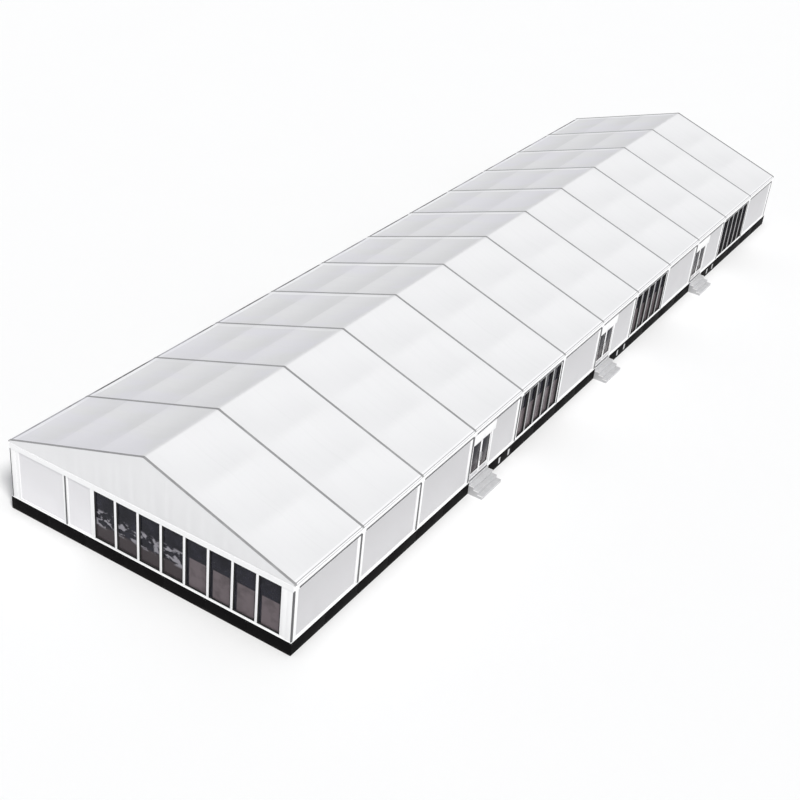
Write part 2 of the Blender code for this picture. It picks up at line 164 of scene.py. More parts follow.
class RoofSizes(bpy.types.PropertyGroup):
    sag: length("Sag", "How far the fabric sinks between two purlins", 0.05)
    rest: length("Rest", "How far the fabric sinks onto a purlin between two rafters", 0.004)
    ripple: length("Ripple", "Height of the small waves in the fabric", 0.0005)
    ridge_radius: length("Ridge radius", "Rounding of the fabric over the ridge", 0.11)
    eave_radius: length("Eave radius", "Rounding of the fabric over the eave", 0.012)
    hem: length("Hem", "How far the fabric hangs down over the eave", 0.032)
    thickness: length("Thickness", "Thickness of the fabric", 0.0015)
    ridge_purlin: length("Ridge purlin", "Distance of the top purlin from the ridge", 0.06)
    track_width: length("Track width", "Width of the track over a rafter", 0.064)
    track_height: length("Track height", "Height of the track over a rafter", 0.0035)
    span_steps: number("Span steps", "Fabric faces between purlins", 12)
    bay_steps: number("Bay steps", "Fabric faces between rafters", 16)


class WallSizes(bpy.types.PropertyGroup):
    stile: length("Stile", "Width of the white stiles beside a plain panel", 0.11)
    proud: length("Proud", "How far covers stand out of the wall's face", 0.005)
    edge: length("Edge", "Rounding of a cover's edge", 0.002)
    post_lap: length("Post lap", "How far a post cover laps over the frame beside it", 0.012)
    panel_recess: length("Panel recess", "Depth of a panel's face behind the wall's face", 0.0148)
    rail: length("Rail", "Height of the rails at a wall's foot and head", 0.05)
    lining: length("Lining", "Thickness of the dark channel beside a pane", 0.004)
    gasket: length("Gasket", "Width of the gasket round a pane", 0.007)
    fascia: length("Fascia", "How far the eave fascia stands out", 0.010)
    # The dark track is partly a real track and partly painted shade under the fascia.
    shadow_track: length("Shadow track", "Height of the dark track under the fascia", 0.064)
    track_start: length("Track start", "Where the dark track starts beyond a post", 0.14)


class DoorSizes(bpy.types.PropertyGroup):
    stile: length("Leaf stile", "Width of a leaf's stiles and top rail", 0.037)
    kick: length("Kick rail", "Height of the panel at a leaf's foot", 0.15)
    mid_rail: length("Mid rail", "Height of the rail over the kick panel", 0.03)
    pull: length("Pull", "Length of a pull handle", 0.24)
    pull_radius: length("Pull radius", "Radius of a pull handle's bar", 0.007)
    pull_reach: length("Pull reach", "Distance of a pull handle from its leaf", 0.026)


class BaseSizes(bpy.types.PropertyGroup):
    board: length("Board", "Length of one base board", 1.25)
    thickness: length("Thickness", "How far the base boards stand out", 0.004)
    gap: length("Gap", "Gap between two base boards", 0.002)
    trim: length("Trim", "Width of the pale angle on the floor's edge", 0.027)
    tread: length("Tread", "Thickness of a step's tread plate", 0.006)
    nosing: length("Nosing", "How far a tread plate stands over its riser", 0.006)
    ribs: number("Ribs", "Ribs across one tread plate", 9)


class TentColours(bpy.types.PropertyGroup):
    fabric: colour("Fabric", "Roof and gable fabric", (0.80, 0.80, 0.81))
    panel: colour("Panel", "Plain wall panels", (0.588, 0.583, 0.598))
    coat: colour("Coat", "White coated profiles", (0.92, 0.92, 0.925))
    post: colour("Post", "Dark grey posts and tracks", (0.10, 0.10, 0.105))
    seam: colour("Seam", "Grey tracks over the rafters", (0.33, 0.33, 0.335))
    glass: colour("Glass", "Upper part of the glass", (0.012, 0.012, 0.017))
    # Painted light: the sunlit floor seen low through the glass.
    glass_painted_light: colour("Glass low", "Lower part of the glass", (0.150, 0.125, 0.135))
    # Painted reflections in the front's left panes.
    painted_reflection: colour("Broken", "Broken reflections in the front glass", (0.29, 0.28, 0.31))
    board: colour("Board", "Black base boards", (0.005, 0.0045, 0.005))
    step: colour("Step", "Entrance steps", (0.60, 0.60, 0.61))
    floor: colour("Floor", "Floor boards inside", (0.20, 0.19, 0.18))
    studio: colour("Studio", "Studio floor", (0.97, 0.97, 0.97))


class StageSettings(bpy.types.PropertyGroup):
    place: FloatVectorProperty(
        name="Place", description="Camera's place", default=(15.974, -32.58, 19.796), unit="LENGTH"
    )
    aim: FloatVectorProperty(
        name="Aim", description="Point in the image's centre", default=(1.828, -7.401, 1.854), unit="LENGTH"
    )
    roll: FloatProperty(name="Roll", description="Camera's roll", default=0.1074, subtype="ANGLE")
    lens: FloatProperty(name="Lens", description="Focal length", default=59.75, unit="CAMERA")
    sun: FloatProperty(name="Sun", description="Strength of the main light", default=2.47, min=0.0)
    sky: FloatProperty(name="Sky", description="Strength of the light all round", default=0.4, min=0.0)
    toward: FloatVectorProperty(
        name="Toward", description="Direction of the main light", default=(0.51, -0.32, 0.80)
    )
    softness: FloatProperty(
        name="Softness", description="Angle of the main light", default=0.26, subtype="ANGLE"
    )
    reach: length("Reach", "Radius of the level part of the studio floor", 300.0)
    slope: FloatProperty(
        name="Slope", description="Slope of the studio floor at twice its reach", default=0.4, min=0.0
    )


GROUPS = {
    "tent_roof": RoofSizes,
    "tent_walls": WallSizes,
    "tent_doors": DoorSizes,
    "tent_base": BaseSizes,
    "tent_colours": TentColours,
    "tent_stage": StageSettings,
}


class Value:
    """A socket that can stand in a sum: each operator adds a Math node to its tree."""

    def __init__(self, nodes, socket):
        self.nodes = nodes
        self.socket = socket

    def calculate(self, operation, *others):
        return self.nodes.sum(operation, self, *others)

    def __add__(self, other):
        return self.calculate("ADD", other)

    __radd__ = __add__

    def __sub__(self, other):
        return self.calculate("SUBTRACT", other)

    def __rsub__(self, other):
        return self.nodes.sum("SUBTRACT", other, self)

    def __mul__(self, other):
        return self.calculate("MULTIPLY", other)

    __rmul__ = __mul__

    def __mod__(self, other):
        return self.calculate("FLOORED_MODULO", other)

    def __abs__(self):
        return self.calculate("ABSOLUTE")

    def rise(self, start, stop):
        """Goes smoothly from 0 at start to 1 at stop."""
        ends = {"Value": self, "From Min": start, "From Max": stop}
        return self.nodes.add("ShaderNodeMapRange", {"interpolation_type": "SMOOTHSTEP"}, ends)

    def near(self, middle, half, soft):
        """One within half of the middle, and zero farther off than that and soft."""
        return abs(self - middle).rise(half + soft, half)


class Nodes:
    """The node tree of one finish; x, y and z are the place on the piece."""

    def __init__(self, name):
        self.material = bpy.data.materials.new(name)
        self.material.use_nodes = True
        self.tree = self.material.node_tree
        self.shader = self.tree.nodes["Principled BSDF"]
        self.here = self.add("ShaderNodeTexCoord", {}, {}, "Object")
        split = self.tree.nodes.new("ShaderNodeSeparateXYZ")
        self.feed(split.inputs[0], self.here)
        self.x, self.y, self.z = (Value(self, socket) for socket in split.outputs)

    def add(self, kind, settings, inputs, output=0):
        """Adds a node, sets its settings, then its sockets' values or links, and returns one output."""
        node = self.tree.nodes.new(kind)
        for key, setting in settings.items():
            setattr(node, key, setting)
        for key, value in inputs.items():
            self.feed(node.inputs[key], value)
        return Value(self, node.outputs[output])

    def feed(self, socket, value):
        if isinstance(value, Value):
            self.tree.links.new(value.socket, socket)
        else:
            socket.default_value = value

    def sum(self, operation, *values):
        return self.add("ShaderNodeMath", {"operation": operation}, dict(enumerate(values)))

    def mix(self, factor, first, second):
        """A colour between two colours."""
        mix_first, mix_second, mix_result = 6, 7, 2
        inputs = {0: factor, mix_first: opaque(first), mix_second: opaque(second)}
        return self.add("ShaderNodeMix", {"data_type": "RGBA"}, inputs, mix_result)

    def layers(self, tone, *layers):
        """A tone with others laid over it, each given as (mask, tone)."""
        for mask, over in layers:
            tone = self.mix(mask, tone, over)
        return tone

    def noise(self, scale, detail=3.0, stretch=(1.0, 1.0, 1.0)):
        """Cloudy values round a half; stretch squeezes the pattern along an axis."""
        place = self.add("ShaderNodeVectorMath", {"operation": "MULTIPLY"}, {0: self.here, 1: stretch})
        return self.add("ShaderNodeTexNoise", {}, {"Vector": place, "Scale": scale, "Detail": detail})

    def surface(self, base, roughness, height=None, relief=0.001, constants=None):
        """Feeds the shader; height is raised by a Bump node, and the constants go on plain sockets."""
        self.feed(self.shader.inputs["Base Color"], opaque(base))
        self.feed(self.shader.inputs["Roughness"], roughness)
        if height is not None:
            bump = self.add("ShaderNodeBump", {}, {"Distance": relief, "Height": height})
            self.feed(self.shader.inputs["Normal"], bump)
        for key, value in (constants or {}).items():
            self.feed(self.shader.inputs[key], value)
        return self.material


def opaque(tone):
    """A colour with its fourth number, or the value that it comes from."""
    return tone if isinstance(tone, Value) else (*tone, 1.0)


def scaled(tone, factor):
    return tuple(min(1.0, part * factor) for part in tone)


def fabric_finish(name, colours):
    """Coated fabric: faint stains, weld lines, a white band and a grey cord along the eaves, wider on
    the left; on the left slope, painted shade at and below each purlin line, a painted lilac sky reflection
    and a painted highlight before each rafter."""
    nodes = Nodes(name)
    x, y, fabric = nodes.x, nodes.y, colours.fabric
    clouds = nodes.noise(0.9, 4.0, (0.5, 1.0, 1.0))
    streaks = nodes.noise(5.0, 3.0, (0.12, 1.6, 0.12))
    stain = clouds.rise(0.35, 0.75) * 0.5 + streaks.rise(0.45, 0.8) * 0.5
    tone = nodes.mix(stain, fabric, scaled(fabric, 0.965))
    if name == "roof_fabric":
        strip = HALF / 3
        down = abs(x) % strip
        along = (y + HALF_LENGTH) % BAY
        left = x.rise(-0.05, -0.15)
        # Painted shade: a darker band along each purlin line on the left slope.
        purlins = down.near(strip / 2, strip / 2 - 0.035, 0.03)
        # Painted highlight: a pale streak on the left slope just before each rafter, faded out in the front
        # bays.
        painted_rafter_highlight = along.near(BAY - 0.12, 0.05, 0.04) * y.rise(frame_y(1), frame_y(5))
        tone = nodes.layers(
            tone,
            ((1 - purlins) * left, scaled(fabric, 0.93)),
            (abs(x).rise(EAVE_X - 0.075, EAVE_X - 0.070), scaled(fabric, 1.12)),
            (x.rise(0.19 - EAVE_X, 0.18 - EAVE_X), scaled(fabric, 1.2)),
            (x.near(EAVE_X - 0.014, 0.007, 0.003), colours.seam),
            (x.rise(0.070 - EAVE_X, 0.066 - EAVE_X), scaled(colours.seam, 0.18)),
            # Painted shade of the sag: each strip between purlins on the left slope is darker just below its
            # upper purlin.
            ((down * (1 / strip)).rise(0.9, 0.0) * left * 0.6, scaled(fabric, 0.88)),
            # Painted lilac sky reflection in cloudy patches on the shaded left slope.
            (clouds.rise(0.42, 0.62) * left * 0.5, (0.79, 0.78, 0.845)),
            (painted_rafter_highlight * left * 0.7, scaled(fabric, 1.2)),
        )
        weld = along.near(BAY / 2, 0.009, 0.003)
    else:
        weld = (x % (BAY / 2)).near(BAY / 4, 0.006, 0.003)
    tone = nodes.mix(weld * 0.35, tone, scaled(fabric, 0.93))
    height = nodes.noise(260.0, 2.0) * 0.25 + weld
    return nodes.surface(tone, 0.52 + stain * 0.1, height, 0.0006, {"Sheen Weight": 0.08})


def panel_finish(name, colours):
    """Satin wall panel, a little paler towards its foot, with faint upright waves."""
    nodes = Nodes(name)
    panel = colours.panel if name == "wall_panel" else scaled(colours.panel, 1.36)
    clouds = nodes.noise(1.3, 4.0)
    splash = nodes.z.rise(FLOOR + 0.12, FLOOR) * nodes.noise(30.0, 4.0).rise(0.45, 0.7)
    tone = nodes.layers(
        scaled(panel, 0.94),
        (nodes.z.rise(WALL_TOP, FLOOR), scaled(panel, 1.04)),
        (clouds.rise(0.4, 0.75) * 0.5, scaled(panel, 0.95)),
        (splash * 0.12, (0.45, 0.42, 0.38)),
    )
    waves = nodes.noise(2.2, 2.0, (1.0, 1.0, 0.06))
    return nodes.surface(tone, 0.42 + clouds * 0.12, waves, 0.004)


def coat_finish(name, colours):
    """White powder coat with a fine grain and faint dust in the lower part."""
    nodes = Nodes(name)
    clouds = nodes.noise(3.0, 4.0)
    dust = clouds.rise(0.45, 0.8) * nodes.z.rise(FLOOR + 0.5, FLOOR)
    tone = nodes.mix(dust * 0.3, colours.coat, scaled(colours.coat, 0.86))
    grain = nodes.noise(420.0, 2.0)
    return nodes.surface(tone, 0.34 + clouds * 0.12, grain, 0.0003, {"Coat Weight": 0.1})


def grained(name, tones, grain, gloss, relief=0.0003, metal=0.0, clouds=None, band=(0.35, 0.7)):
    """A finish whose grain roughens it; its second tone lies in clouds or, without them, in the grain."""
    nodes = Nodes(name)
    grain = nodes.noise(*grain)
    spread = nodes.noise(clouds, 4.0) if clouds else grain
    tone = nodes.mix(spread.rise(*band), *tones)
    return nodes.surface(tone, gloss[0] + grain * gloss[1], grain, relief, {"Metallic": metal})


def post_finish(name, colours):
    """Dark grey coated metal with fine drawing lines."""
    tones = colours.post, scaled(colours.post, 1.25)
    lines = 90.0, 3.0, (1.0, 1.0, 0.04)
    return grained(name, tones, lines, (0.4, 0.15), metal=0.2, clouds=4.0, band=(0.35, 0.75))


def mullion_finish(name, colours):
    """Light grey aluminium of the side mullions."""
    tones = scaled(colours.seam, 1.15), scaled(colours.seam, 1.3)
    return grained(name, tones, (120.0, 3.0, (1.0, 1.0, 0.05)), (0.4, 0.12), metal=0.1)


def step_finish(name, colours):
    """Light grey tread metal with fine speckle and faint clouds."""
    tones = colours.step, scaled(colours.step, 0.93)
    return grained(name, tones, (300.0, 3.0), (0.5, 0.2), relief=0.0005, metal=0.1, clouds=6.0)


def gasket_finish(name, colours):
    """Black rubber of the gaskets."""
    tones = (0.010, 0.010, 0.010), (0.025, 0.025, 0.026)
    return grained(name, tones, (200.0, 2.0), (0.65, 0.1), band=(0.4, 0.7))


def steel_finish(name, colours):
    """Brushed steel of handles, screws and thresholds."""
    tones = (0.50, 0.50, 0.51), (0.62, 0.62, 0.63)
    return grained(name, tones, (160.0, 3.0, (1.0, 1.0, 0.05)), (0.28, 0.12), relief=0.0002, metal=1.0)


def seam_finish(name, colours):
    """Grey aluminium of the rafter tracks, with painted shade darkening the rear rafter's track."""
    nodes = Nodes(name)
    clouds = nodes.noise(3.0, 4.0)
    tone = nodes.layers(
        colours.seam,
        (clouds.rise(0.35, 0.7), scaled(colours.seam, 1.2)),
        # Painted shade: the track over the rear rafter is darkened along the roof's rear edge.
        (nodes.y.rise(HALF_LENGTH - POST, HALF_LENGTH - POST / 2) * 0.55, scaled(colours.seam, 0.4)),
    )
    return nodes.surface(tone, 0.45 + clouds * 0.15, clouds, 0.0004, {"Metallic": 0.25})


def wall_frame_finish(name, colours):
    """White frame whose posts, at the frame lines, are dark grey."""
    nodes = Nodes(name)
    clouds = nodes.noise(3.0, 4.0)
    line = ((nodes.y + HALF_LENGTH + BAY / 2) % BAY).near(BAY / 2, POST / 2 + 0.001, 0.0005)
    white = clouds.rise(0.4, 0.8) * 0.4, scaled(colours.coat, 0.9)
    tone = nodes.layers(colours.coat, white, (line, colours.post))
    return nodes.surface(tone, 0.36 + clouds * 0.12, clouds, 0.0003)


def dark_glass(nodes, colours):
    """The clouds in a pane, and its dark tone."""
    clouds = nodes.noise(3.5, 4.0)
    return clouds, nodes.mix(clouds.rise(0.35, 0.7), colours.glass, scaled(colours.glass, 2.0))


def glazed(nodes, tone, clouds):
    sockets = {"Alpha": 0.95, "Specular IOR Level": 0.1}
    return nodes.surface(tone, 0.05 + clouds * 0.05, constants=sockets)


def pane_finish(name, colours):
    """Dark glass, with painted light making it paler low down in each pane; the front's left panes have
    painted reflections in scattered spots.
    """
    nodes = Nodes(name)
    front = name == "gable_glass"
    across = nodes.x if front else nodes.y
    panes = gable_openings("front")[::-1] if front else side_panes(GLAZED_BAYS[0])
    start, pitch = panes[0][0], abs(panes[1][0] - panes[0][0])
    clouds, dark = dark_glass(nodes, colours)
    low = colours.glass_painted_light
    part = ((across - start) % pitch) * (1 / pitch)
    height = (nodes.z - FLOOR) * (1 / (WALL_TOP - FLOOR))
    # Painted light: a pale patch low in the middle of each pane, for the sunlit floor seen through the glass.
    painted_light_patch = height.rise(0.61, 0.59) * part.near(0.47, 0.34, 0.03)
    tone = nodes.mix(painted_light_patch, dark, nodes.mix(clouds.rise(0.4, 0.7), low, scaled(low, 0.72)))
    if front:
        middle = panes[len(panes) // 2 - 2][0]
        # Painted reflections: scattered pale spots at mid height on the front's left panes.
        spots = nodes.noise(5.5, 3.0, (1.0, 1.0, 1.6)).rise(0.50, 0.60) * height.near(0.46, 0.13, 0.06)
        # Painted light: the foot of the front's left panes is a little paler.
        foot = height.rise(0.36, 0.30), scaled(low, 0.38)
        front_painted_light = nodes.layers(dark, foot, (spots, colours.painted_reflection))
        tone = nodes.mix(across.rise(middle + 0.01, middle), tone, front_painted_light)
    return glazed(nodes, tone, clouds)


def door_glass_finish(name, colours):
    """Glass of the leaves: nearly black, with painted light making it a little paler towards the kick panel.
    """
    nodes = Nodes(name)
    clouds, dark = dark_glass(nodes, colours)
    # Painted light: the lit floor seen low through the leaf's glass.
    foot = nodes.z.rise(FLOOR + 0.8, FLOOR + 0.2)
    return glazed(nodes, nodes.mix(foot * 0.85, dark, scaled(colours.glass_painted_light, 0.5)), clouds)


def board_finish(name, colours):
    """Black film-faced board with scuffs and pale dust at its foot."""
    nodes = Nodes(name)
    clouds = nodes.noise(5.0, 4.0)
    scuffs = nodes.noise(60.0, 4.0, (0.25, 0.25, 1.0)).rise(0.62, 0.75)
    dust = nodes.z.rise(0.08, 0.0) * clouds.rise(0.4, 0.7)
    layers = (scuffs * 0.35, scaled(colours.board, 6.0)), (dust * 0.10, (0.25, 0.24, 0.22))
    tone = nodes.layers(colours.board, *layers)
    return nodes.surface(tone, 0.5 + clouds * 0.2, scuffs, 0.0004, {"Specular IOR Level": 0.03})


def floor_finish(name, colours):
    """Coated floor boards with dark joints across the tent; black on the floor's outer edge."""
    nodes = Nodes(name)
    board = 0.6
    joint = (nodes.y % board).near(board / 2, board / 2 - 0.003, 0.002)
    grain = nodes.noise(12.0, 4.0, (0.15, 1.0, 1.0))
    sides = abs(nodes.x).rise(HALF + 0.002, HALF + 0.004)
    ends = abs(nodes.y).rise(END + 0.002, END + 0.004)
    tone = nodes.layers(
        colours.floor,
        (grain.rise(0.35, 0.7), scaled(colours.floor, 0.8)),
        (1 - joint, scaled(colours.floor, 0.25)),
        (sides.calculate("MAXIMUM", ends), colours.board),
    )
    return nodes.surface(tone, 0.55 + grain * 0.15, joint, 0.001)


def studio_finish(name, colours):
    """Pale matt studio floor."""
    nodes = Nodes(name)
    tone = nodes.mix(nodes.noise(0.3, 3.0), colours.studio, scaled(colours.studio, 0.99))
    return nodes.surface(tone, 0.9, constants={"Specular IOR Level": 0.0})


# Each finish: what makes it, and the record's slot that it stands for
FINISHES = {
    "roof_fabric": (fabric_finish, "white_roof_sheet"),
    "gable_fabric": (fabric_finish, "white_roof_sheet"),
    "wall_panel": (panel_finish, "white_wall_panel"),
    "gable_panel": (panel_finish, "white_wall_panel"),
    "white_coat": (coat_finish, "white_frame_coat"),
    "dark_post": (post_finish, "grey_aluminium"),
    "rafter_grey": (seam_finish, "grey_aluminium"),
    "mullion_grey": (mullion_finish, "grey_aluminium"),
    "wall_frame": (wall_frame_finish, "grey_aluminium"),
    "steel": (steel_finish, "grey_aluminium"),
    "gable_glass": (pane_finish, "dark_glass"),
    "side_glass": (pane_finish, "dark_glass"),
    "door_glass": (door_glass_finish, "dark_glass"),
    "black_board": (board_finish, "black_base_board"),
    "gasket_rubber": (gasket_finish, "black_base_board"),
    "step_metal": (step_finish, "grey_step_board"),
    "floor_boards": (floor_finish, "grey_floor_board"),
    "studio_floor": (studio_finish, None),
}


def finish_material(name):
    """The material of a finish, made at its first use."""
    made = bpy.data.materials.get(name)
    if made is None:
        made = FINISHES[name][0](name, bpy.context.scene.tent_colours)
    return made


class Face:
    """A flat face of the tent: a point on it, and the directions across it, up it and out of it."""

    def __init__(self, origin, across, up, out):
        self.origin = np.array(origin, float)
        self.axes = np.array([across, up, out], float)

    def at(self, u, v, n):
        """Points at u across, v up and n out of the face; the three are arrays that fit each other."""
        u, v, n = np.broadcast_arrays(u, v, n)
        return self.origin + np.stack([u, v, n], axis=-1) @ self.axes


def side_face(x, out=1):
    """An upright face along the tent: its two coordinates are y and z."""
    return Face((x, 0, 0), (0, 1, 0), (0, 0, 1), (out, 0, 0))


def end_face(y, out):
    """An upright face across the tent: its two coordinates are x and z."""
    return Face((0, y, 0), (1, 0, 0), (0, 0, 1), (0, out, 0))


def level_face(z):
    """A level face that looks up: its two coordinates are x and y."""
    return Face((0, 0, z), (1, 0, 0), (0, 1, 0), (0, 0, 1))


SIDES = {"right": side_face(HALF), "left": side_face(-HALF, -1)}
GABLES = {"front": end_face(-END, -1), "rear": end_face(END, 1)}


def strip_faces(rings, points, looped):
    """Four-cornered faces between neighbouring rings, each ring closed; looped joins last and first."""
    index = np.arange(rings * points).reshape(rings, points)
    after = np.roll(index, -1, axis=1)
    next_index, next_after = np.roll(index, -1, axis=0), np.roll(after, -1, axis=0)
    kept = rings if looped else rings - 1
    return np.stack([index, after, next_after, next_index], axis=-1)[:kept].reshape(-1, 4)


def grid_faces(rows, columns):
    """Four-cornered faces of an open grid."""
    index = np.arange(rows * columns).reshape(rows, columns)
    return np.stack([index[:-1, :-1], index[1:, :-1], index[1:, 1:], index[:-1, 1:]], -1).reshape(-1, 4)


def bodies(rings, looped=False):
    """Closed bodies from an array of ring points, (bodies, rings, points, 3).

    Each body's rings follow one another. Its ends are closed with flat faces, or, where it is a loop,
    its last ring is joined to its first.
    """
    count, steps, corners, _ = rings.shape
    start = np.arange(count) * steps * corners
    faces = (strip_faces(steps, corners, looped)[None] + start[:, None, None]).reshape(-1, 4).tolist()
    if not looped:
        first = np.arange(corners)[::-1]
        last = np.arange(corners) + (steps - 1) * corners
        faces += (start[:, None] + first).tolist() + (start[:, None] + last).tolist()
    return rings.reshape(-1, 3), faces


INWARD_U = np.array([1.0, -1.0, -1.0, 1.0])
INWARD_V = np.array([1.0, 1.0, -1.0, -1.0])


def rectangle_corners(spans):
    """Corner places of rectangles given as rows of (u start, u stop, v start, v stop)."""
    spans = np.atleast_2d(np.array(spans, float))
    return spans[:, [0, 1, 1, 0]], spans[:, [2, 2, 3, 3]]


def covers(face, spans, base, top, edge):
    """Flat covers with eased edges: rings of the same rectangle, the last ones drawn in by edge.

    A quarter of an ellipse joins side and top: inset = edge (1 - cos t), height = top - edge (1 - sin t).
    """
    u, v = rectangle_corners(spans)
    turn = np.array([0.0, 0.5, 1.0]) * np.pi / 2
    inset = np.concatenate([[0.0], edge * (1 - np.cos(turn))])
    height = np.concatenate([[base], top - edge * (1 - np.sin(turn))])
    ring_u = u[:, None, :] + inset[None, :, None] * INWARD_U
    ring_v = v[:, None, :] + inset[None, :, None] * INWARD_V
    return bodies(face.at(ring_u, ring_v, height[None, :, None]))


def rims(face, spans, outline):
    """Frames round rectangles: the outline's points are (distance inward, height out of the face)."""
    u, v = rectangle_corners(spans)
    inward, out = np.array(outline, float).T
    ring_u = u[:, :, None] + INWARD_U[:, None] * inward
    ring_v = v[:, :, None] + INWARD_V[:, None] * inward
    return bodies(face.at(ring_u, ring_v, out), looped=True)


def bars(face, outline, starts, stops):
    """Straight bars across a face, from start to stop; the outline is (height up it, height out of it)."""
    place, out = np.array(outline, float).T
    ends = np.stack([starts, stops], axis=1).astype(float)[:, :, None]
    return bodies(face.at(ends, place, out))


def heads(face, spots, base, sides=12):
    """Round screw heads: rings on circles whose radius shrinks towards the top."""
    height = 0.0015
    spots = np.array(spots, float)
    turn = np.arange(sides) * 2 * np.pi / sides
    size = SCREW * np.array([1.0, 1.0, 0.85, 0.45])
    out = base + height * np.array([-0.5, 0.6, 0.9, 1.0])
    u = spots[:, 0, None, None] + size[:, None] * np.cos(turn)
    v = spots[:, 1, None, None] + size[:, None] * np.sin(turn)
    return bodies(face.at(u, v, out[None, :, None]))


def corner_spots(span, inset_u, inset_v):
    """Places of four screws near the corners of a cover."""
    u_start, u_stop, v_start, v_stop = span
    heights = (v_start + inset_v, v_stop - inset_v)
    return [(u, v) for u in (u_start + inset_u, u_stop - inset_u) for v in heights]


def stile_pair(opening, lap, width, low, high):
    """Spans of the two upright covers just inside an opening's ends."""
    start, stop = opening
    return [(start + lap, start + width, low, high), (stop - width, stop - lap, low, high)]


def carried(outline, path, sides, ups):
    """A body whose outline, given as (side, up), is carried along a path with its own directions."""
    side, up = np.array(outline, float).T
    rings = path[:, None, :] + side[:, None] * sides[:, None, :] + up[:, None] * ups[:, None, :]
    return bodies(rings[None])


def pipe(path, radius, sides=10):
    """A round bar along a flat path: rings square to the path, turned with its tangent."""
    tangent = np.gradient(path, axis=0)
    tangent /= np.linalg.norm(tangent, axis=1, keepdims=True)
    bend = np.cross(path[-1] - path[0], path[len(path) // 2] - path[0])
    flats = np.repeat(bend[None] / np.linalg.norm(bend), len(path), axis=0)
    turn = np.arange(sides) * 2 * np.pi / sides
    outline = radius * np.stack([np.cos(turn), np.sin(turn)], axis=1)
    return carried(outline, path, flats, np.cross(tangent, flats))


def settle(thing, finish, body, smooth_angle):
    """Gives a finished mesh its finish, shading and body."""
    thing.data.materials.append(finish_material(finish))
    thing.data.shade_smooth()
    thing.data.set_sharp_from_angle(angle=smooth_angle)
    bpy.context.scene.collection.objects.link(thing)
    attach(thing, body)
    return thing


def piece(name, shapes, finish, body=TENT):
    """One object from several shapes, each a point array and a face list."""
    points, faces, start = [], [], 0
    for shape_points, shape_faces in shapes:
        points.append(shape_points)
        faces += [[corner + start for corner in face] for face in shape_faces]
        start += len(shape_points)
    mesh = bpy.data.meshes.new(name)
    mesh.from_pydata(np.concatenate(points).tolist(), [], faces)
    shape = bmesh.new()
    shape.from_mesh(mesh)
    bmesh.ops.recalc_face_normals(shape, faces=shape.faces)
    shape.to_mesh(mesh)
    shape.free()
    return settle(bpy.data.objects.new(name, mesh), finish, body, 0.7)


def cloth(name, surface, finish, along, across):
    """A sheet of fabric from a grid of points, (along, across, 3), with its distances as UV map."""
    faces = grid_faces(*surface.shape[:2])
    mesh = bpy.data.meshes.new(name)
    mesh.from_pydata(surface.reshape(-1, 3).tolist(), [], faces.tolist())
    u, v = np.meshgrid(along, across, indexing="ij")
    flat = np.stack([u, v], axis=-1).reshape(-1, 2)[faces.reshape(-1)]
    mesh.uv_layers.new(name="cloth").data.foreach_set("uv", flat.reshape(-1).astype(np.float32))
    sheet = settle(bpy.data.objects.new(name, mesh), finish, TENT, 3.0)
    solid = sheet.modifiers.new("thickness", "SOLIDIFY")
    solid.thickness = bpy.context.scene.tent_roof.thickness
    solid.offset = -1.0
    return sheet


def roof_curve(distance):
    """Places (x, z) and outward directions of the fabric's line at distances from the ridge.

    The heading turns from level to the roof's pitch over the ridge radius, keeps that pitch down to
    the eave and turns to plumb over the eave radius; a place is the running sum of the heading. The
    last two results are the distances of the bend at the eave and of the hem's end.
    """
    roof = bpy.context.scene.tent_roof
    outer = EAVE_X + 0.004
    turned = roof.ridge_radius * PITCH
    x_turned = roof.ridge_radius * np.sin(PITCH)
    x_bend = outer - roof.eave_radius * (1 - np.sin(PITCH))
    bend = turned + (x_bend - x_turned) / np.cos(PITCH)
    total = bend + roof.eave_radius * (np.pi / 2 - PITCH) + roof.hem
    fine = np.linspace(0.0, total, 6001)
    middle = (fine[1:] + fine[:-1]) / 2
    heading = np.clip(middle / roof.ridge_radius, 0.0, PITCH)
    heading += np.clip((middle - bend) / roof.eave_radius, 0.0, np.pi / 2 - PITCH)
    step = fine[1] - fine[0]
    x_fine = np.concatenate([[0.0], np.cumsum(np.cos(heading)) * step])
    drop = np.concatenate([[0.0], np.cumsum(np.sin(heading)) * step])
    top = RIDGE - roof.ridge_radius * (1 / np.cos(PITCH) - 1)
    reach = np.abs(distance)
    sign = np.where(distance < 0, -1.0, 1.0)
    x = np.interp(reach, fine, x_fine)
    z = top - np.interp(reach, fine, drop)
    angle = np.interp(reach, middle, heading)
    return sign * x, z, sign * np.sin(angle), np.cos(angle), bend, total


def roof_distances():
    """Distances from the ridge of the fabric's rows, closer at the ridge and the eave, and its supports."""
    roof = bpy.context.scene.tent_roof
    bend, total = roof_curve(np.zeros(1))[4:]
    purlin_pitch = HALF / np.cos(PITCH) / 3
    supports = np.array([roof.ridge_purlin, purlin_pitch, 2 * purlin_pitch, bend - 0.01])
    rows = [np.linspace(0.0, supports[0], 6)]
    for start, stop in zip(supports, supports[1:]):
        rows.append(np.linspace(start, stop, roof.span_steps + 1)[1:])
    rows.append(np.linspace(supports[-1], total - roof.hem, 7)[1:])
    rows.append(np.linspace(total - roof.hem, total, 4)[1:])
    half = np.concatenate(rows)
    return bordered(np.concatenate([-half[:0:-1], half])), supports


def bordered(places, rim=0.002):
    """Places with one more just inside each end, which keeps a sheet's shading level up to its rim."""
    return np.concatenate([places[:1], [places[0] + rim], places[1:-1], [places[-1] - rim], places[-1:]])


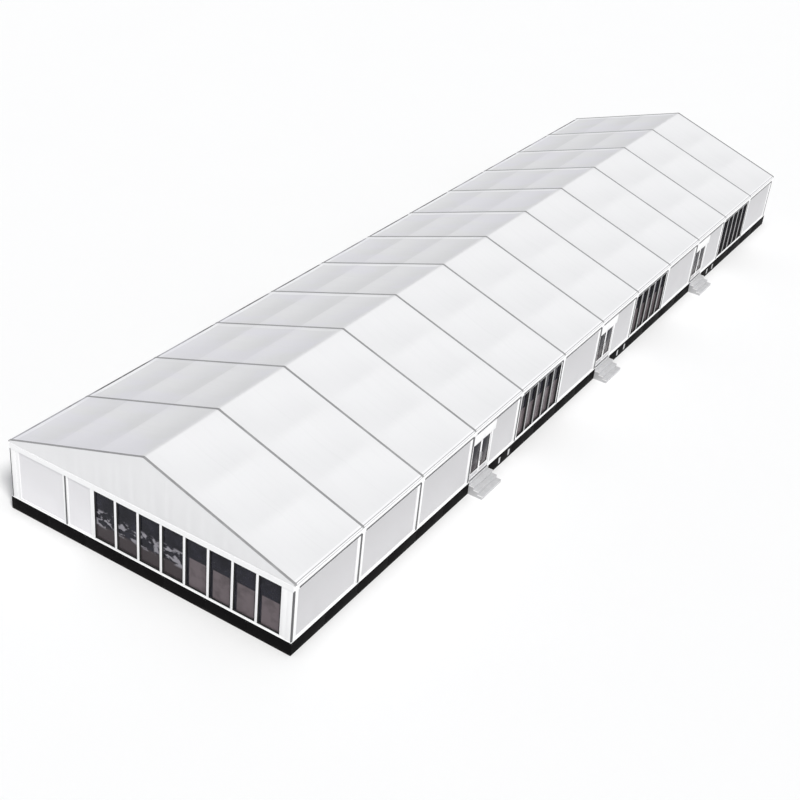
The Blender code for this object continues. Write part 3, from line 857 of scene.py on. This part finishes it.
def roof_surface(bay):
    """Fabric of one bay: the roof's curve carried along the tent, sunk between its supports.

    Between two supports the sag is a half sine down the slope; from mid-bay, t = 0, to the rafters at
    t = -1 and 1 it fades as 1 - t^2.5. Small waves of a few lengths, seeded for each bay, run over it.
    """
    roof = bpy.context.scene.tent_roof
    distance, supports = roof_distances()
    x, z, out_x, out_z, _, total = roof_curve(distance)
    reach = np.abs(distance)
    span = np.clip(np.searchsorted(supports, reach) - 1, 0, len(supports) - 2)
    part = np.clip((reach - supports[span]) / (supports[span + 1] - supports[span]), 0.0, 1.0)
    held = np.clip(reach / supports[0], 0.0, 1.0) * np.clip((supports[-1] - reach) / 0.3, 0.0, 1.0)
    t = bordered(np.linspace(-1.0, 1.0, roof.bay_steps + 1))
    across = frame_y(bay - 0.5) + t * (BAY / 2 - POST / 2 - 0.0005)
    loose = 1 - np.abs(t) ** 2.5
    rng = np.random.default_rng(bay)
    waves = np.zeros((len(distance), len(across)))
    for _ in range(5):
        along_rate, across_rate = rng.uniform(1.0, 5.0), rng.uniform(1.0, 4.0)
        waves += np.sin(along_rate * distance[:, None] + across_rate * t + rng.uniform(0, 2 * np.pi))
    depth = (roof.sag * np.sin(np.pi * part) + roof.rest * held)[:, None] * loose
    depth += roof.ripple * waves * held[:, None] * loose
    points = np.empty((len(distance), len(across), 3))
    points[..., 0] = x[:, None] - out_x[:, None] * depth
    points[..., 1] = across
    points[..., 2] = z[:, None] - out_z[:, None] * depth
    return points, distance, across, total


def gable_surface(side):
    """Fabric triangle of a gable, from the tie beam to just under the roof's edge.

    Rows run from the tie to the roof line at each x. Upright folds, sums of sines across, start at the
    tie and fade out towards the roof; the middle of the sheet bellies a little outward.
    """
    gap = 0.004
    low = TIE_TOP + gap
    x = bordered(np.linspace(-HALF, HALF, 161))
    up = bordered(np.linspace(0.0, 1.0, 25))
    curve_x, curve_z = roof_curve(np.linspace(0, HALF * 1.06, 300))[:2]
    tall = np.interp(np.abs(x), curve_x, curve_z) - gap - low
    rng = np.random.default_rng(40 + side)
    folds = np.zeros_like(x)
    for rate in (7.0, 12.0, 19.0, 31.0):
        folds += np.sin(rate * x + rng.uniform(0, 2 * np.pi)) * rng.uniform(0.4, 1.0)
    height = tall / tall.max()
    belly = 0.012 * np.sin(np.pi * up)[:, None] * height
    fade = np.minimum(up / 0.12, 1.0) * (1 - up) ** 0.7
    depth = gap + 0.0045 * (folds + 2.2) * fade[:, None] * height**0.5 + belly
    points = np.empty((len(up), len(x), 3))
    points[..., 0] = x
    points[..., 1] = side * (END + depth)
    points[..., 2] = low + tall * up[:, None]
    return points, up * tall.max(), x, float(tall.mean() * (x[-1] - x[0]))


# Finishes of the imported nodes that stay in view, by the start of their names; the rest are wall panel
CARRIED = (
    ("base_frame", "black_board"),
    ("floor_deck", "floor_boards"),
    ("left_wall_frame", "wall_frame"),
    ("right_wall_frame", "wall_frame"),
    ("left_glass", "side_glass"),
    ("right_glass", "side_glass"),
    ("front_glass", "gable_glass"),
    ("front_panel", "gable_panel"),
    ("roof_frame", "rafter_grey"),
    ("eave_beam", "white_coat"),
    ("front_wall_frame", "white_coat"),
    ("rear_wall_frame", "white_coat"),
    ("entrance_steps", "step_metal"),
)


class FinishCarriedNodes(bpy.types.Operator):
    """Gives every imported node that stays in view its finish"""

    bl_idname = "tent.finish_carried_nodes"
    bl_label = "Finish carried nodes"

    def execute(self, context):
        for name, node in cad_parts.items():
            finish = next((finish for start, finish in CARRIED if name.startswith(start)), "wall_panel")
            node.data.materials.clear()
            node.data.materials.append(finish_material(finish))
        return {"FINISHED"}


class RoofFabric(bpy.types.Operator):
    """Twelve fabric sheets, each one piece from eave to eave over the ridge"""

    bl_idname = "tent.roof_fabric"
    bl_label = "Roof fabric"

    def execute(self, context):
        for bay in range(1, BAYS + 1):
            points, along, across, total = roof_surface(bay)
            sheet = cloth(f"roof_fabric_{bay:02d}", points, "roof_fabric", along, across)
            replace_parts(sheet, f"roof_sheet_{bay:02d}")
            size = (across[-1] - across[0], 2 * total)
        return {"FINISHED"}


class RafterTracks(bpy.types.Operator):
    """Tracks over the rafters that hold the edges of the roof fabric"""

    bl_idname = "tent.rafter_tracks"
    bl_label = "Rafter tracks"

    def execute(self, context):
        roof = context.scene.tent_roof
        distance = roof_distances()[0]
        x, z, out_x, out_z = roof_curve(distance)[:4]
        half, high = roof.track_width / 2, roof.track_height
        lip, floor = half * 0.45, high * 0.35
        right = [(half, -0.0005), (half, high * 0.6), (half - 0.003, high), (lip + 0.002, high), (lip, floor)]
        outline = [(-side, up) for side, up in right] + right[::-1]
        over_ridge = roof.ridge_radius * (1 / np.cos(PITCH) - 1)
        lift = 0.002 + over_ridge * np.clip(1 - np.abs(distance) / 0.12, 0, 1)
        ups = np.stack([out_x, np.zeros_like(x), out_z], axis=1)
        sides = np.tile([0.0, 1.0, 0.0], (len(x), 1))
        shapes = []
        for line in range(BAYS + 1):
            path = np.stack([x, np.full_like(x, frame_y(line)), z], axis=1) + ups * lift[:, None]
            shapes.append(carried(outline, path, sides, ups))
        piece("rafter_tracks", shapes, "rafter_grey")
        return {"FINISHED"}


def fascia_outline(low, high, back, proud, ease):
    """Section of a fascia as (height, out): eased edges, and a shallow groove near its top."""
    groove = [(high - 0.014, proud), (high - 0.012, proud - 0.003), (high - 0.010, proud - 0.003)]
    foot = [(low, back), (low, proud - ease), (low + ease, proud)]
    return foot + groove + [(high - 0.008, proud), (high - 0.002, proud), (high, proud - ease), (high, back)]


class EaveTrim(bpy.types.Operator):
    """Hem rail, white fascia and dark shadow track along both eaves, with covers at the posts; the dark track
    is partly painted shade under the fascia
    """

    bl_idname = "tent.eave_trim"
    bl_label = "Eave trim"

    def execute(self, context):
        walls = context.scene.tent_walls
        hem = roof_curve(roof_distances()[0])[1].min()
        gap = 0.003
        starts = np.array([bay_span(bay)[0] + gap for bay in range(1, BAYS + 1)])
        stops = starts + BAY - POST - 2 * gap
        out = EAVE_X + 0.002 - HALF
        rail = [(hem - 0.012, 0.0), (hem - 0.012, out + 0.004), (hem - 0.002, out + 0.004)]
        rail += [(hem, out + 0.001), (hem, out - 0.004), (hem + 0.006, out - 0.004), (hem + 0.006, 0.0)]
        # The dark track's height also covers the painted shade under the fascia.
        low, high = WALL_TOP - walls.shadow_track / 2, WALL_TOP + walls.shadow_track / 2
        fascia = fascia_outline(high, hem - 0.014, 0.0, walls.fascia, 0.002)
        top = high - JOINT
        track = [(low, SEAT), (low, 0.006), (WALL_TOP, 0.008), (top, 0.006), (top, SEAT)]
        joints = starts[1:] - POST / 2
        track_starts = starts + walls.track_start
        patches = [(start, stop - gap, low, top) for start, stop in zip(starts, track_starts)]
        for name, face in SIDES.items():
            piece(f"hem_rail_{name}", [bars(face, rail, starts, stops)], "rafter_grey")
            lengths = bars(face, fascia, [-END, *joints], [*(joints - gap), END])
            piece(f"eave_fascia_{name}", [lengths], "white_coat")
            piece(f"eave_track_{name}", [bars(face, track, track_starts, stops + 0.004)], "dark_post")
            piece(f"post_head_{name}", [covers(face, patches, SEAT, 0.007, walls.edge)], "white_coat")
        return {"FINISHED"}


class GableFabric(bpy.types.Operator):
    """Fabric triangles of the two gables, up to the roof's edge"""

    bl_idname = "tent.gable_fabric"
    bl_label = "Gable fabric"

    def execute(self, context):
        for name, side in (("front", -1), ("rear", 1)):
            points, along, across, area = gable_surface(side)
            if side < 0:
                points, across = points[:, ::-1], across[::-1]
            sheet = cloth(f"gable_fabric_{name}", points, "gable_fabric", along, across)
            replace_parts(sheet, f"{name}_gable_sheet")
        return {"FINISHED"}


class WallCovers(bpy.types.Operator):
    """White stiles and rails round the plain panels, and dark covers on the posts"""

    bl_idname = "tent.wall_covers"
    bl_label = "Wall covers"

    def execute(self, context):
        walls = context.scene.tent_walls
        foot, head = FLOOR + JOINT, WALL_TOP - walls.shadow_track / 2 - JOINT
        rail_top = FLOOR + walls.rail
        low = rail_top + JOINT
        proud, edge = walls.proud, walls.edge
        lap = walls.post_lap + JOINT
        for name, face in SIDES.items():
            plain = PLAIN_BAYS if name == "right" else PLAIN_BAYS + DOOR_BAYS
            back = -walls.panel_recess if name == "right" else 0.0
            stiles, rails = [], []
            for bay in plain:
                stiles += stile_pair(bay_span(bay), lap, walls.stile, low, head)
            for bay in sorted(plain + GLAZED_BAYS):
                start, stop = bay_span(bay)
                rails.append((start + lap, stop - lap, foot, rail_top))
            for bay in GLAZED_BAYS:
                start, stop = bay_span(bay)
                panes = side_panes(bay)
                stiles.append((start + lap, panes[0][0] - JOINT, low, head))
                stiles.append((panes[-1][1] + JOINT, stop - lap, low, head))
            shapes = [covers(face, stiles, back, proud, edge), covers(face, rails, SEAT, proud, edge)]
            piece(f"panel_surrounds_{name}", shapes, "white_coat")
            posts = []
            for line in range(BAYS + 1):
                half = POST / 2 + walls.post_lap * (0 < line < BAYS)
                posts.append((frame_y(line) - half, frame_y(line) + half, foot, head))
            piece(f"post_covers_{name}", [covers(face, posts, SEAT, proud + POST_STEP, edge)], "dark_post")
        return {"FINISHED"}


def glaze(name, face, openings, high, depth, finish):
    """Mullion caps, dark channels that run in to the glass, and gaskets of a row of panes."""
    walls = bpy.context.scene.tent_walls
    low, proud, lining, gap = FLOOR + walls.rail, walls.proud, walls.lining, 0.0015
    caps = [
        (stop + gap, start - gap, low + JOINT, high - JOINT)
        for (_, stop), (start, _) in zip(openings, openings[1:])
    ]
    piece(f"mullion_caps_{name}", [covers(face, caps, SEAT, proud + 0.001, walls.edge)], finish)
    panes = [(start, stop, low, high) for start, stop in openings]
    channel = [(0.0, 0.0), (0.0, proud), (lining, proud - 0.001), (lining, -depth), (SEAT, -depth)]
    piece(f"glass_channels_{name}", [rims(face, panes, channel)], "gasket_rubber")
    turn = np.linspace(0, np.pi / 2, 4)
    rounding = [(lining + walls.gasket * np.sin(t), -depth + walls.gasket * np.cos(t)) for t in turn]
    piece(f"gaskets_{name}", [rims(face, panes, [(lining, -depth)] + rounding)], "gasket_rubber")


class SideGlazing(bpy.types.Operator):
    """Mullion caps, channels and gaskets of the glazed bays of both long walls"""

    bl_idname = "tent.side_glazing"
    bl_label = "Side glazing"

    def execute(self, context):
        high = WALL_TOP - context.scene.tent_walls.rail
        left_low, left_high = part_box("left_wall")
        depths = {"right": WALL_DEPTH, "left": left_high.x - left_low.x}
        for bay in GLAZED_BAYS:
            for name, face in SIDES.items():
                glaze(f"{name}_{bay:02d}", face, side_panes(bay), high, depths[name], "mullion_grey")
        return {"FINISHED"}


class GableWalls(bpy.types.Operator):
    """Fascia, corner posts, glazing and panel surrounds of the two gable walls"""

    bl_idname = "tent.gable_walls"
    bl_label = "Gable walls"

    def execute(self, context):
        walls = context.scene.tent_walls
        proud, edge = walls.proud, walls.edge
        foot, rail_top = FLOOR + JOINT, FLOOR + walls.rail
        low, high, lap = WALL_TOP - 0.010, TIE_TOP + 0.012, 0.02
        head = low - JOINT
        fascia = fascia_outline(low, high, SEAT, 0.015, 0.003)
        front = gable_openings("front")
        plain = {"front": front[:2], "rear": gable_openings("rear")}
        panes = front[2:]
        backs = {"front": -GABLE_DEPTH / 2 + 0.0105, "rear": -GABLE_DEPTH}
        rail_stops = {"front": front[1][1] + lap, "rear": GABLE_REACH}
        corner = HALF - 0.02
        corners = [(-corner, -GABLE_REACH, foot, head), (GABLE_REACH, corner, foot, head)]
        start, stop = HALF - 0.019, HALF + 0.006
        corner_posts = [(start, stop, foot, head), (-stop, -start, foot, head)]
        for name, face in GABLES.items():
            piece(f"gable_fascia_{name}", [bars(face, fascia, [-HALF], [HALF])], "white_coat")
            stiles, posts = [], []
            for opening in plain[name]:
                stiles += stile_pair(opening, JOINT / 2, walls.stile / 2, rail_top + JOINT / 2, head)
            for (_, stop), (start, _) in zip(plain[name], plain[name][1:]):
                posts.append((stop + JOINT, start - JOINT, foot, head))
            rails = [(-GABLE_REACH, rail_stops[name], foot, rail_top)]
            shapes = [covers(face, stiles, backs[name], proud, edge)]
            shapes += [covers(face, spans, SEAT, proud, edge) for spans in (rails, corners)]
            piece(f"gable_surrounds_{name}", shapes, "white_coat")
            shapes = [covers(face, corner_posts + posts, SEAT, proud + POST_STEP, edge)]
            piece(f"gable_posts_{name}", shapes, "dark_post")
        glaze("front", GABLES["front"], panes, WALL_TOP, GABLE_DEPTH, "white_coat")
        first, last = panes[0][0], panes[-1][1]
        stiles = [(front[1][1] + JOINT, first - JOINT, rail_top + JOINT, head)]
        stiles.append((last + JOINT, GABLE_REACH, rail_top + JOINT, head))
        stiles.append((first - lap, GABLE_REACH, foot, rail_top - JOINT))
        shapes = [covers(GABLES["front"], stiles, SEAT, proud, edge)]
        piece("front_glass_frame", shapes, "white_coat")
        return {"FINISHED"}


class DoorLeaves(bpy.types.Operator):
    """Glazed leaves with frame, kick panel, pane, gasket and pull handles"""

    bl_idname = "tent.door_leaves"
    bl_label = "Door leaves"

    def execute(self, context):
        for bay in DOOR_BAYS:
            for position in ("front", "rear"):
                self.leaf(context.scene.tent_doors, bay, position)
        return {"FINISHED"}

    def leaf(self, doors, bay, position):
        tag = f"{bay:02d}_{position}"
        body = f"door_{tag}"
        low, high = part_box(f"door_leaf_{tag}")
        middle, thick = (low.x + high.x) / 2, (high.x - low.x) / 2
        face = side_face(middle)
        points = corners_of(f"door_leaf_{tag}")
        wide = points[np.abs(points[:, 0] - high.x) < SAME, 1:]
        (y_start, z_start), (y_stop, z_stop) = wide.min(axis=0), wide.max(axis=0)
        stile, bevel, slant, tuck = doors.stile, 0.002, 0.004, 0.001
        skin = thick - 0.001
        front = [(0.0, thick - bevel), (bevel, thick), (stile - slant, thick), (stile, thick - slant)]
        section = front + [(inward, -out) for inward, out in front[::-1]]
        kick_top = z_start + doors.kick
        rail_top = kick_top + doors.mid_rail
        inner = (y_start + stile - tuck, y_stop - stile + tuck)
        rail = [(kick_top, -thick + bevel), (kick_top, thick - bevel), (kick_top + bevel, skin)]
        rail += [(rail_top - bevel, skin), (rail_top, thick - bevel), (rail_top, -thick + bevel)]
        shapes = [rims(face, [(y_start, y_stop, z_start, z_stop)], section)]
        shapes.append(bars(face, rail, inner[:1], inner[1:]))
        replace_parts(piece(f"leaf_frame_{tag}", shapes, "white_coat", body), f"door_leaf_{tag}")
        kick = (*inner, z_start + stile - tuck, kick_top + tuck)
        piece(f"leaf_kick_{tag}", [covers(face, [kick], -0.005, 0.005, 0.001)], "wall_panel", body)
        pane = (*inner, rail_top - tuck, z_stop - stile + tuck)
        piece(f"leaf_pane_{tag}", [covers(face, [pane], -0.003, 0.003, 0.0005)], "door_glass", body)
        seat = np.array(pane) + [tuck, -tuck, tuck, -tuck]
        rubber = np.array([(0.0, 0.0031), (0.0, 0.009), (0.006, 0.0031)])
        shapes = [rims(face, seat, rubber * [1, sign]) for sign in (1, -1)]
        piece(f"leaf_gasket_{tag}", shapes, "gasket_rubber", body)
        y_pull = y_stop - stile / 2 if position == "front" else y_start + stile / 2
        self.pulls(doors, tag, (middle, y_pull, (z_start + z_stop) / 2), skin)

    def pulls(self, doors, tag, centre, foot):
        """Two bent bars: each stands out of the leaf, turns along a quarter circle and runs up and back."""
        turn = np.linspace(0, np.pi / 2, 6)
        half, bend = doors.pull / 2, 0.012
        out = doors.pull_reach - bend + bend * np.sin(turn)
        lower = np.stack([out, bend - bend * np.cos(turn) - half], axis=1)
        line = np.concatenate([[(0.0, -half)], lower, lower[::-1] * [1, -1], [(0.0, half)]])
        shapes = []
        for sign in (1, -1):
            path = np.stack([sign * (foot + line[:, 0]), np.zeros(len(line)), line[:, 1]], axis=1)
            shapes.append(pipe(np.array(centre) + path, doors.pull_radius))
        piece(f"leaf_pulls_{tag}", shapes, "steel", f"door_{tag}")


class DoorTrim(bpy.types.Operator):
    """Surround of each doorway, plates and screws of its header box, and its threshold"""

    bl_idname = "tent.door_trim"
    bl_label = "Door trim"

    def execute(self, context):
        walls = context.scene.tent_walls
        foot, head = FLOOR + JOINT, WALL_TOP - walls.shadow_track / 2 - JOINT
        jamb, gap, plate, edge = 0.011, 0.002, 0.004, 0.0015
        for bay in DOOR_BAYS:
            start, stop = bay_span(bay)
            door_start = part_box(f"door_leaf_{bay:02d}_front")[0].y - jamb
            door_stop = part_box(f"door_leaf_{bay:02d}_rear")[1].y + jamb
            wall = corners_of(f"door_wall_{bay:02d}")
            wall_x = levels(wall[:, 0])[-2]
            box_x = wall[:, 0].max()
            header = wall[np.abs(wall[:, 0] - box_x) < SAME, 1:]
            (y_low, z_low), (y_high, z_high) = header.min(axis=0), header.max(axis=0)
            wide = door_stop + walls.stile * 0.6
            stiles = [
                (door_stop + gap, wide, foot, head),
                (stop - walls.stile, stop - JOINT, foot, head),
                (wide + JOINT, stop - walls.stile - JOINT, foot, FLOOR + walls.rail),
                (start + JOINT, door_start - gap, foot, z_low - JOINT),
            ]
            proud = HALF - wall_x + walls.proud
            shapes = [covers(side_face(wall_x), stiles, SEAT, proud, walls.edge)]
            piece(f"door_surround_{bay:02d}", shapes, "white_coat")
            middle = (y_low + y_high) / 2
            halves = ((y_low, middle), (middle, y_high))
            plates = [(a + gap, b - gap, z_low + gap, z_high - gap) for a, b in halves]
            face = side_face(box_x)
            piece(f"header_plates_{bay:02d}", [covers(face, plates, SEAT, plate, edge)], "white_coat")
            screws = [spot for span in plates for spot in corner_spots(span, 0.02, 0.015)]
            piece(f"header_screws_{bay:02d}", [heads(face, screws, plate)], "steel")
            sill = [(HALF - WALL_DEPTH, HALF + 0.02, door_start + gap, door_stop - gap)]
            piece(f"threshold_{bay:02d}", [covers(level_face(FLOOR), sill, SEAT, 0.003, edge)], "steel")
        return {"FINISHED"}


class EntranceTreads(bpy.types.Operator):
    """Ribbed tread plates, side strings and top riser of the entrance steps"""

    bl_idname = "tent.entrance_treads"
    bl_label = "Entrance treads"

    def execute(self, context):
        base = context.scene.tent_base
        for bay in DOOR_BAYS:
            points = corners_of(f"entrance_steps_{bay:02d}")
            y_start, y_stop = points[:, 1].min(), points[:, 1].max()
            xs, zs = levels(points[:, 0]), levels(points[:, 2])
            inner = (y_start + JOINT, y_stop - JOINT)
            plates, ribs, strings = [], [], []
            for x_start, x_stop, z in zip(xs, xs[1:], zs[:0:-1]):
                face = level_face(z)
                depth = (x_start + JOINT, x_stop + base.nosing)
                plates.append(covers(face, [(*depth, *inner)], SEAT, base.tread, 0.002))
                pitch = (x_stop - x_start) / base.ribs
                middles = x_start + (np.arange(base.ribs) + 0.5) * pitch
                half, rim = pitch * 0.28, 0.012
                rows = [(x - half, x + half, y_start + rim, y_stop - rim) for x in middles]
                ribs.append(covers(face, rows, base.tread - 0.0005, base.tread + 0.0016, 0.001))
                for y in (y_start, y_stop):
                    side = [(*depth, y - 0.006, y + 0.006)]
                    strings.append(covers(face, side, -0.012, base.tread + 0.003, 0.002))
            riser = [(*inner, zs[-1] + base.tread, FLOOR - 0.0005)]
            plates.append(covers(side_face(BASE_HIGH.x), riser, SEAT, base.thickness, 0.001))
            piece(f"tread_plates_{bay:02d}", plates, "step_metal")
            piece(f"tread_ribs_{bay:02d}", ribs, "step_metal")
            piece(f"tread_strings_{bay:02d}", strings, "white_coat")
        return {"FINISHED"}


class BaseBoards(bpy.types.Operator):
    """Black boards round the raised floor, pale angle on its edge, and small plates by the steps"""

    bl_idname = "tent.base_boards"
    bl_label = "Base boards"

    def execute(self, context):
        base = context.scene.tent_base
        reach_x, reach_y = BASE_HIGH.x, BASE_HIGH.y
        margin, clear, inset = 0.004, 0.008, 0.03
        low, high = margin, FLOOR - margin
        steps = [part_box(f"entrance_steps_{bay:02d}") for bay in DOOR_BAYS]
        spans_right, start = [], -reach_y
        for step_low, step_high in steps:
            spans_right.append((start, step_low.y - clear))
            start = step_high.y + clear
        spans_right.append((start, reach_y))
        faces = {
            "right": (side_face(reach_x), spans_right),
            "left": (side_face(-reach_x, -1), [(-reach_y, reach_y)]),
            "front": (end_face(-reach_y, -1), [(-reach_x, reach_x)]),
            "rear": (end_face(reach_y, 1), [(-reach_x, reach_x)]),
        }
        for name, (face, spans) in faces.items():
            boards, screws = [], []
            for start, stop in spans:
                edges = np.linspace(start, stop, max(1, round((stop - start) / base.board)) + 1)
                for a, b in zip(edges, edges[1:]):
                    boards.append((a + base.gap / 2, b - base.gap / 2, low, high))
                    screws += corner_spots((a, b, low, high), inset, inset)
            piece(f"base_boards_{name}", [covers(face, boards, SEAT, base.thickness, 0.001)], "black_board")
            piece(f"board_screws_{name}", [heads(face, screws, base.thickness, 8)], "steel")
        middle, half_wide, half_tall = (low + high) / 2, 0.045, (high - low) * 0.26
        plates = []
        for _, step_high in steps:
            for offset in (0.63, 1.14):
                y = step_high.y + offset
                plates.append((y - half_wide, y + half_wide, middle - half_tall, middle + half_tall))
        plate_top = base.thickness + 0.004
        shapes = [covers(faces["right"][0], plates, base.thickness, plate_top, 0.0015)]
        piece("board_plates", shapes, "step_metal")
        rim_x, rim_y, thick = DECK_HIGH.x - 0.002, DECK_HIGH.y - 0.002, 0.003
        outline = [(0.0, SEAT), (0.0, thick), (base.trim, thick), (base.trim, SEAT)]
        angle = rims(level_face(FLOOR), [(-rim_x, rim_x, -rim_y, rim_y)], outline)
        piece("floor_edge_angle", [angle], "white_coat")
        return {"FINISHED"}


class Stage(bpy.types.Operator):
    """Pale floor that curves up far away, soft light and the camera"""

    bl_idname = "tent.stage"
    bl_label = "Stage"

    def execute(self, context):
        stage = context.scene.tent_stage
        self.floor(context, stage)
        self.light(context, stage)
        self.camera(context, stage)
        return {"FINISHED"}

    def floor(self, context, stage):
        """A square whose height beyond the reach r grows as slope (d - r)^2 / 2 r, d from the middle."""
        steps = np.linspace(-2 * stage.reach, 2 * stage.reach, 41)
        x, y = np.meshgrid(steps, steps, indexing="ij")
        beyond = np.maximum(np.hypot(x, y) - stage.reach, 0.0)
        rise = stage.slope * beyond**2 / (2 * stage.reach)
        points = np.stack([x, y, rise - 0.002], axis=-1).reshape(-1, 3)
        mesh = bpy.data.meshes.new("studio_floor")
        mesh.from_pydata(points.tolist(), [], grid_faces(*x.shape).tolist())
        mesh.shade_smooth()
        mesh.materials.append(finish_material("studio_floor"))
        floor = bpy.data.objects.new("studio_floor", mesh)
        context.scene.collection.objects.link(floor)

    def light(self, context, stage):
        world = context.scene.world or bpy.data.worlds.new("studio")
        context.scene.world = world
        world.use_nodes = True
        sky = world.node_tree.nodes["Background"]
        sky.inputs["Color"].default_value = (0.95, 0.965, 1.0, 1.0)
        sky.inputs["Strength"].default_value = stage.sky
        context.scene.view_settings.view_transform = "Standard"
        lamp = bpy.data.lights.new("key", "SUN")
        lamp.energy = stage.sun
        lamp.angle = stage.softness
        lamp.color = (1.0, 0.995, 0.98)
        key = bpy.data.objects.new("key", lamp)
        key.rotation_euler = Vector(stage.toward).to_track_quat("Z", "Y").to_euler()
        context.scene.collection.objects.link(key)

    def camera(self, context, stage):
        data = bpy.data.cameras.new("camera")
        data.lens = stage.lens
        data.sensor_width = 36.0
        data.clip_end = 2000.0
        camera = bpy.data.objects.new("camera", data)
        place = Vector(stage.place)
        look = (Vector(stage.aim) - place).normalized()
        turn = look.to_track_quat("-Z", "Y").to_matrix() @ Matrix.Rotation(stage.roll, 3, "Z")
        camera.matrix_world = Matrix.Translation(place) @ turn.to_4x4()
        context.scene.collection.objects.link(camera)
        context.scene.camera = camera


PIECES = (
    FinishCarriedNodes,
    RoofFabric,
    RafterTracks,
    EaveTrim,
    GableFabric,
    WallCovers,
    SideGlazing,
    GableWalls,
    DoorLeaves,
    DoorTrim,
    EntranceTreads,
    BaseBoards,
    Stage,
)


class MarqueePanel(bpy.types.Panel):
    """Lists the operators that dress the tent"""

    bl_idname = "VIEW3D_PT_marquee_dressing"
    bl_label = "Marquee dressing"
    bl_space_type = "VIEW_3D"
    bl_region_type = "UI"
    bl_category = "Marquee"

    def draw(self, context):
        for operator in PIECES:
            self.layout.operator(operator.bl_idname)


def register():
    for name, group in GROUPS.items():
        bpy.utils.register_class(group)
        setattr(bpy.types.Scene, name, PointerProperty(type=group))
    for listed in (*PIECES, MarqueePanel):
        bpy.utils.register_class(listed)


def unregister():
    for listed in (MarqueePanel, *reversed(PIECES)):
        bpy.utils.unregister_class(listed)
    for name, group in GROUPS.items():
        delattr(bpy.types.Scene, name)
        bpy.utils.unregister_class(group)


def main():
    register()
    for operator in PIECES:
        group, name = operator.bl_idname.split(".")
        getattr(getattr(bpy.ops, group), name)()


if __name__ == "__main__":
    main()
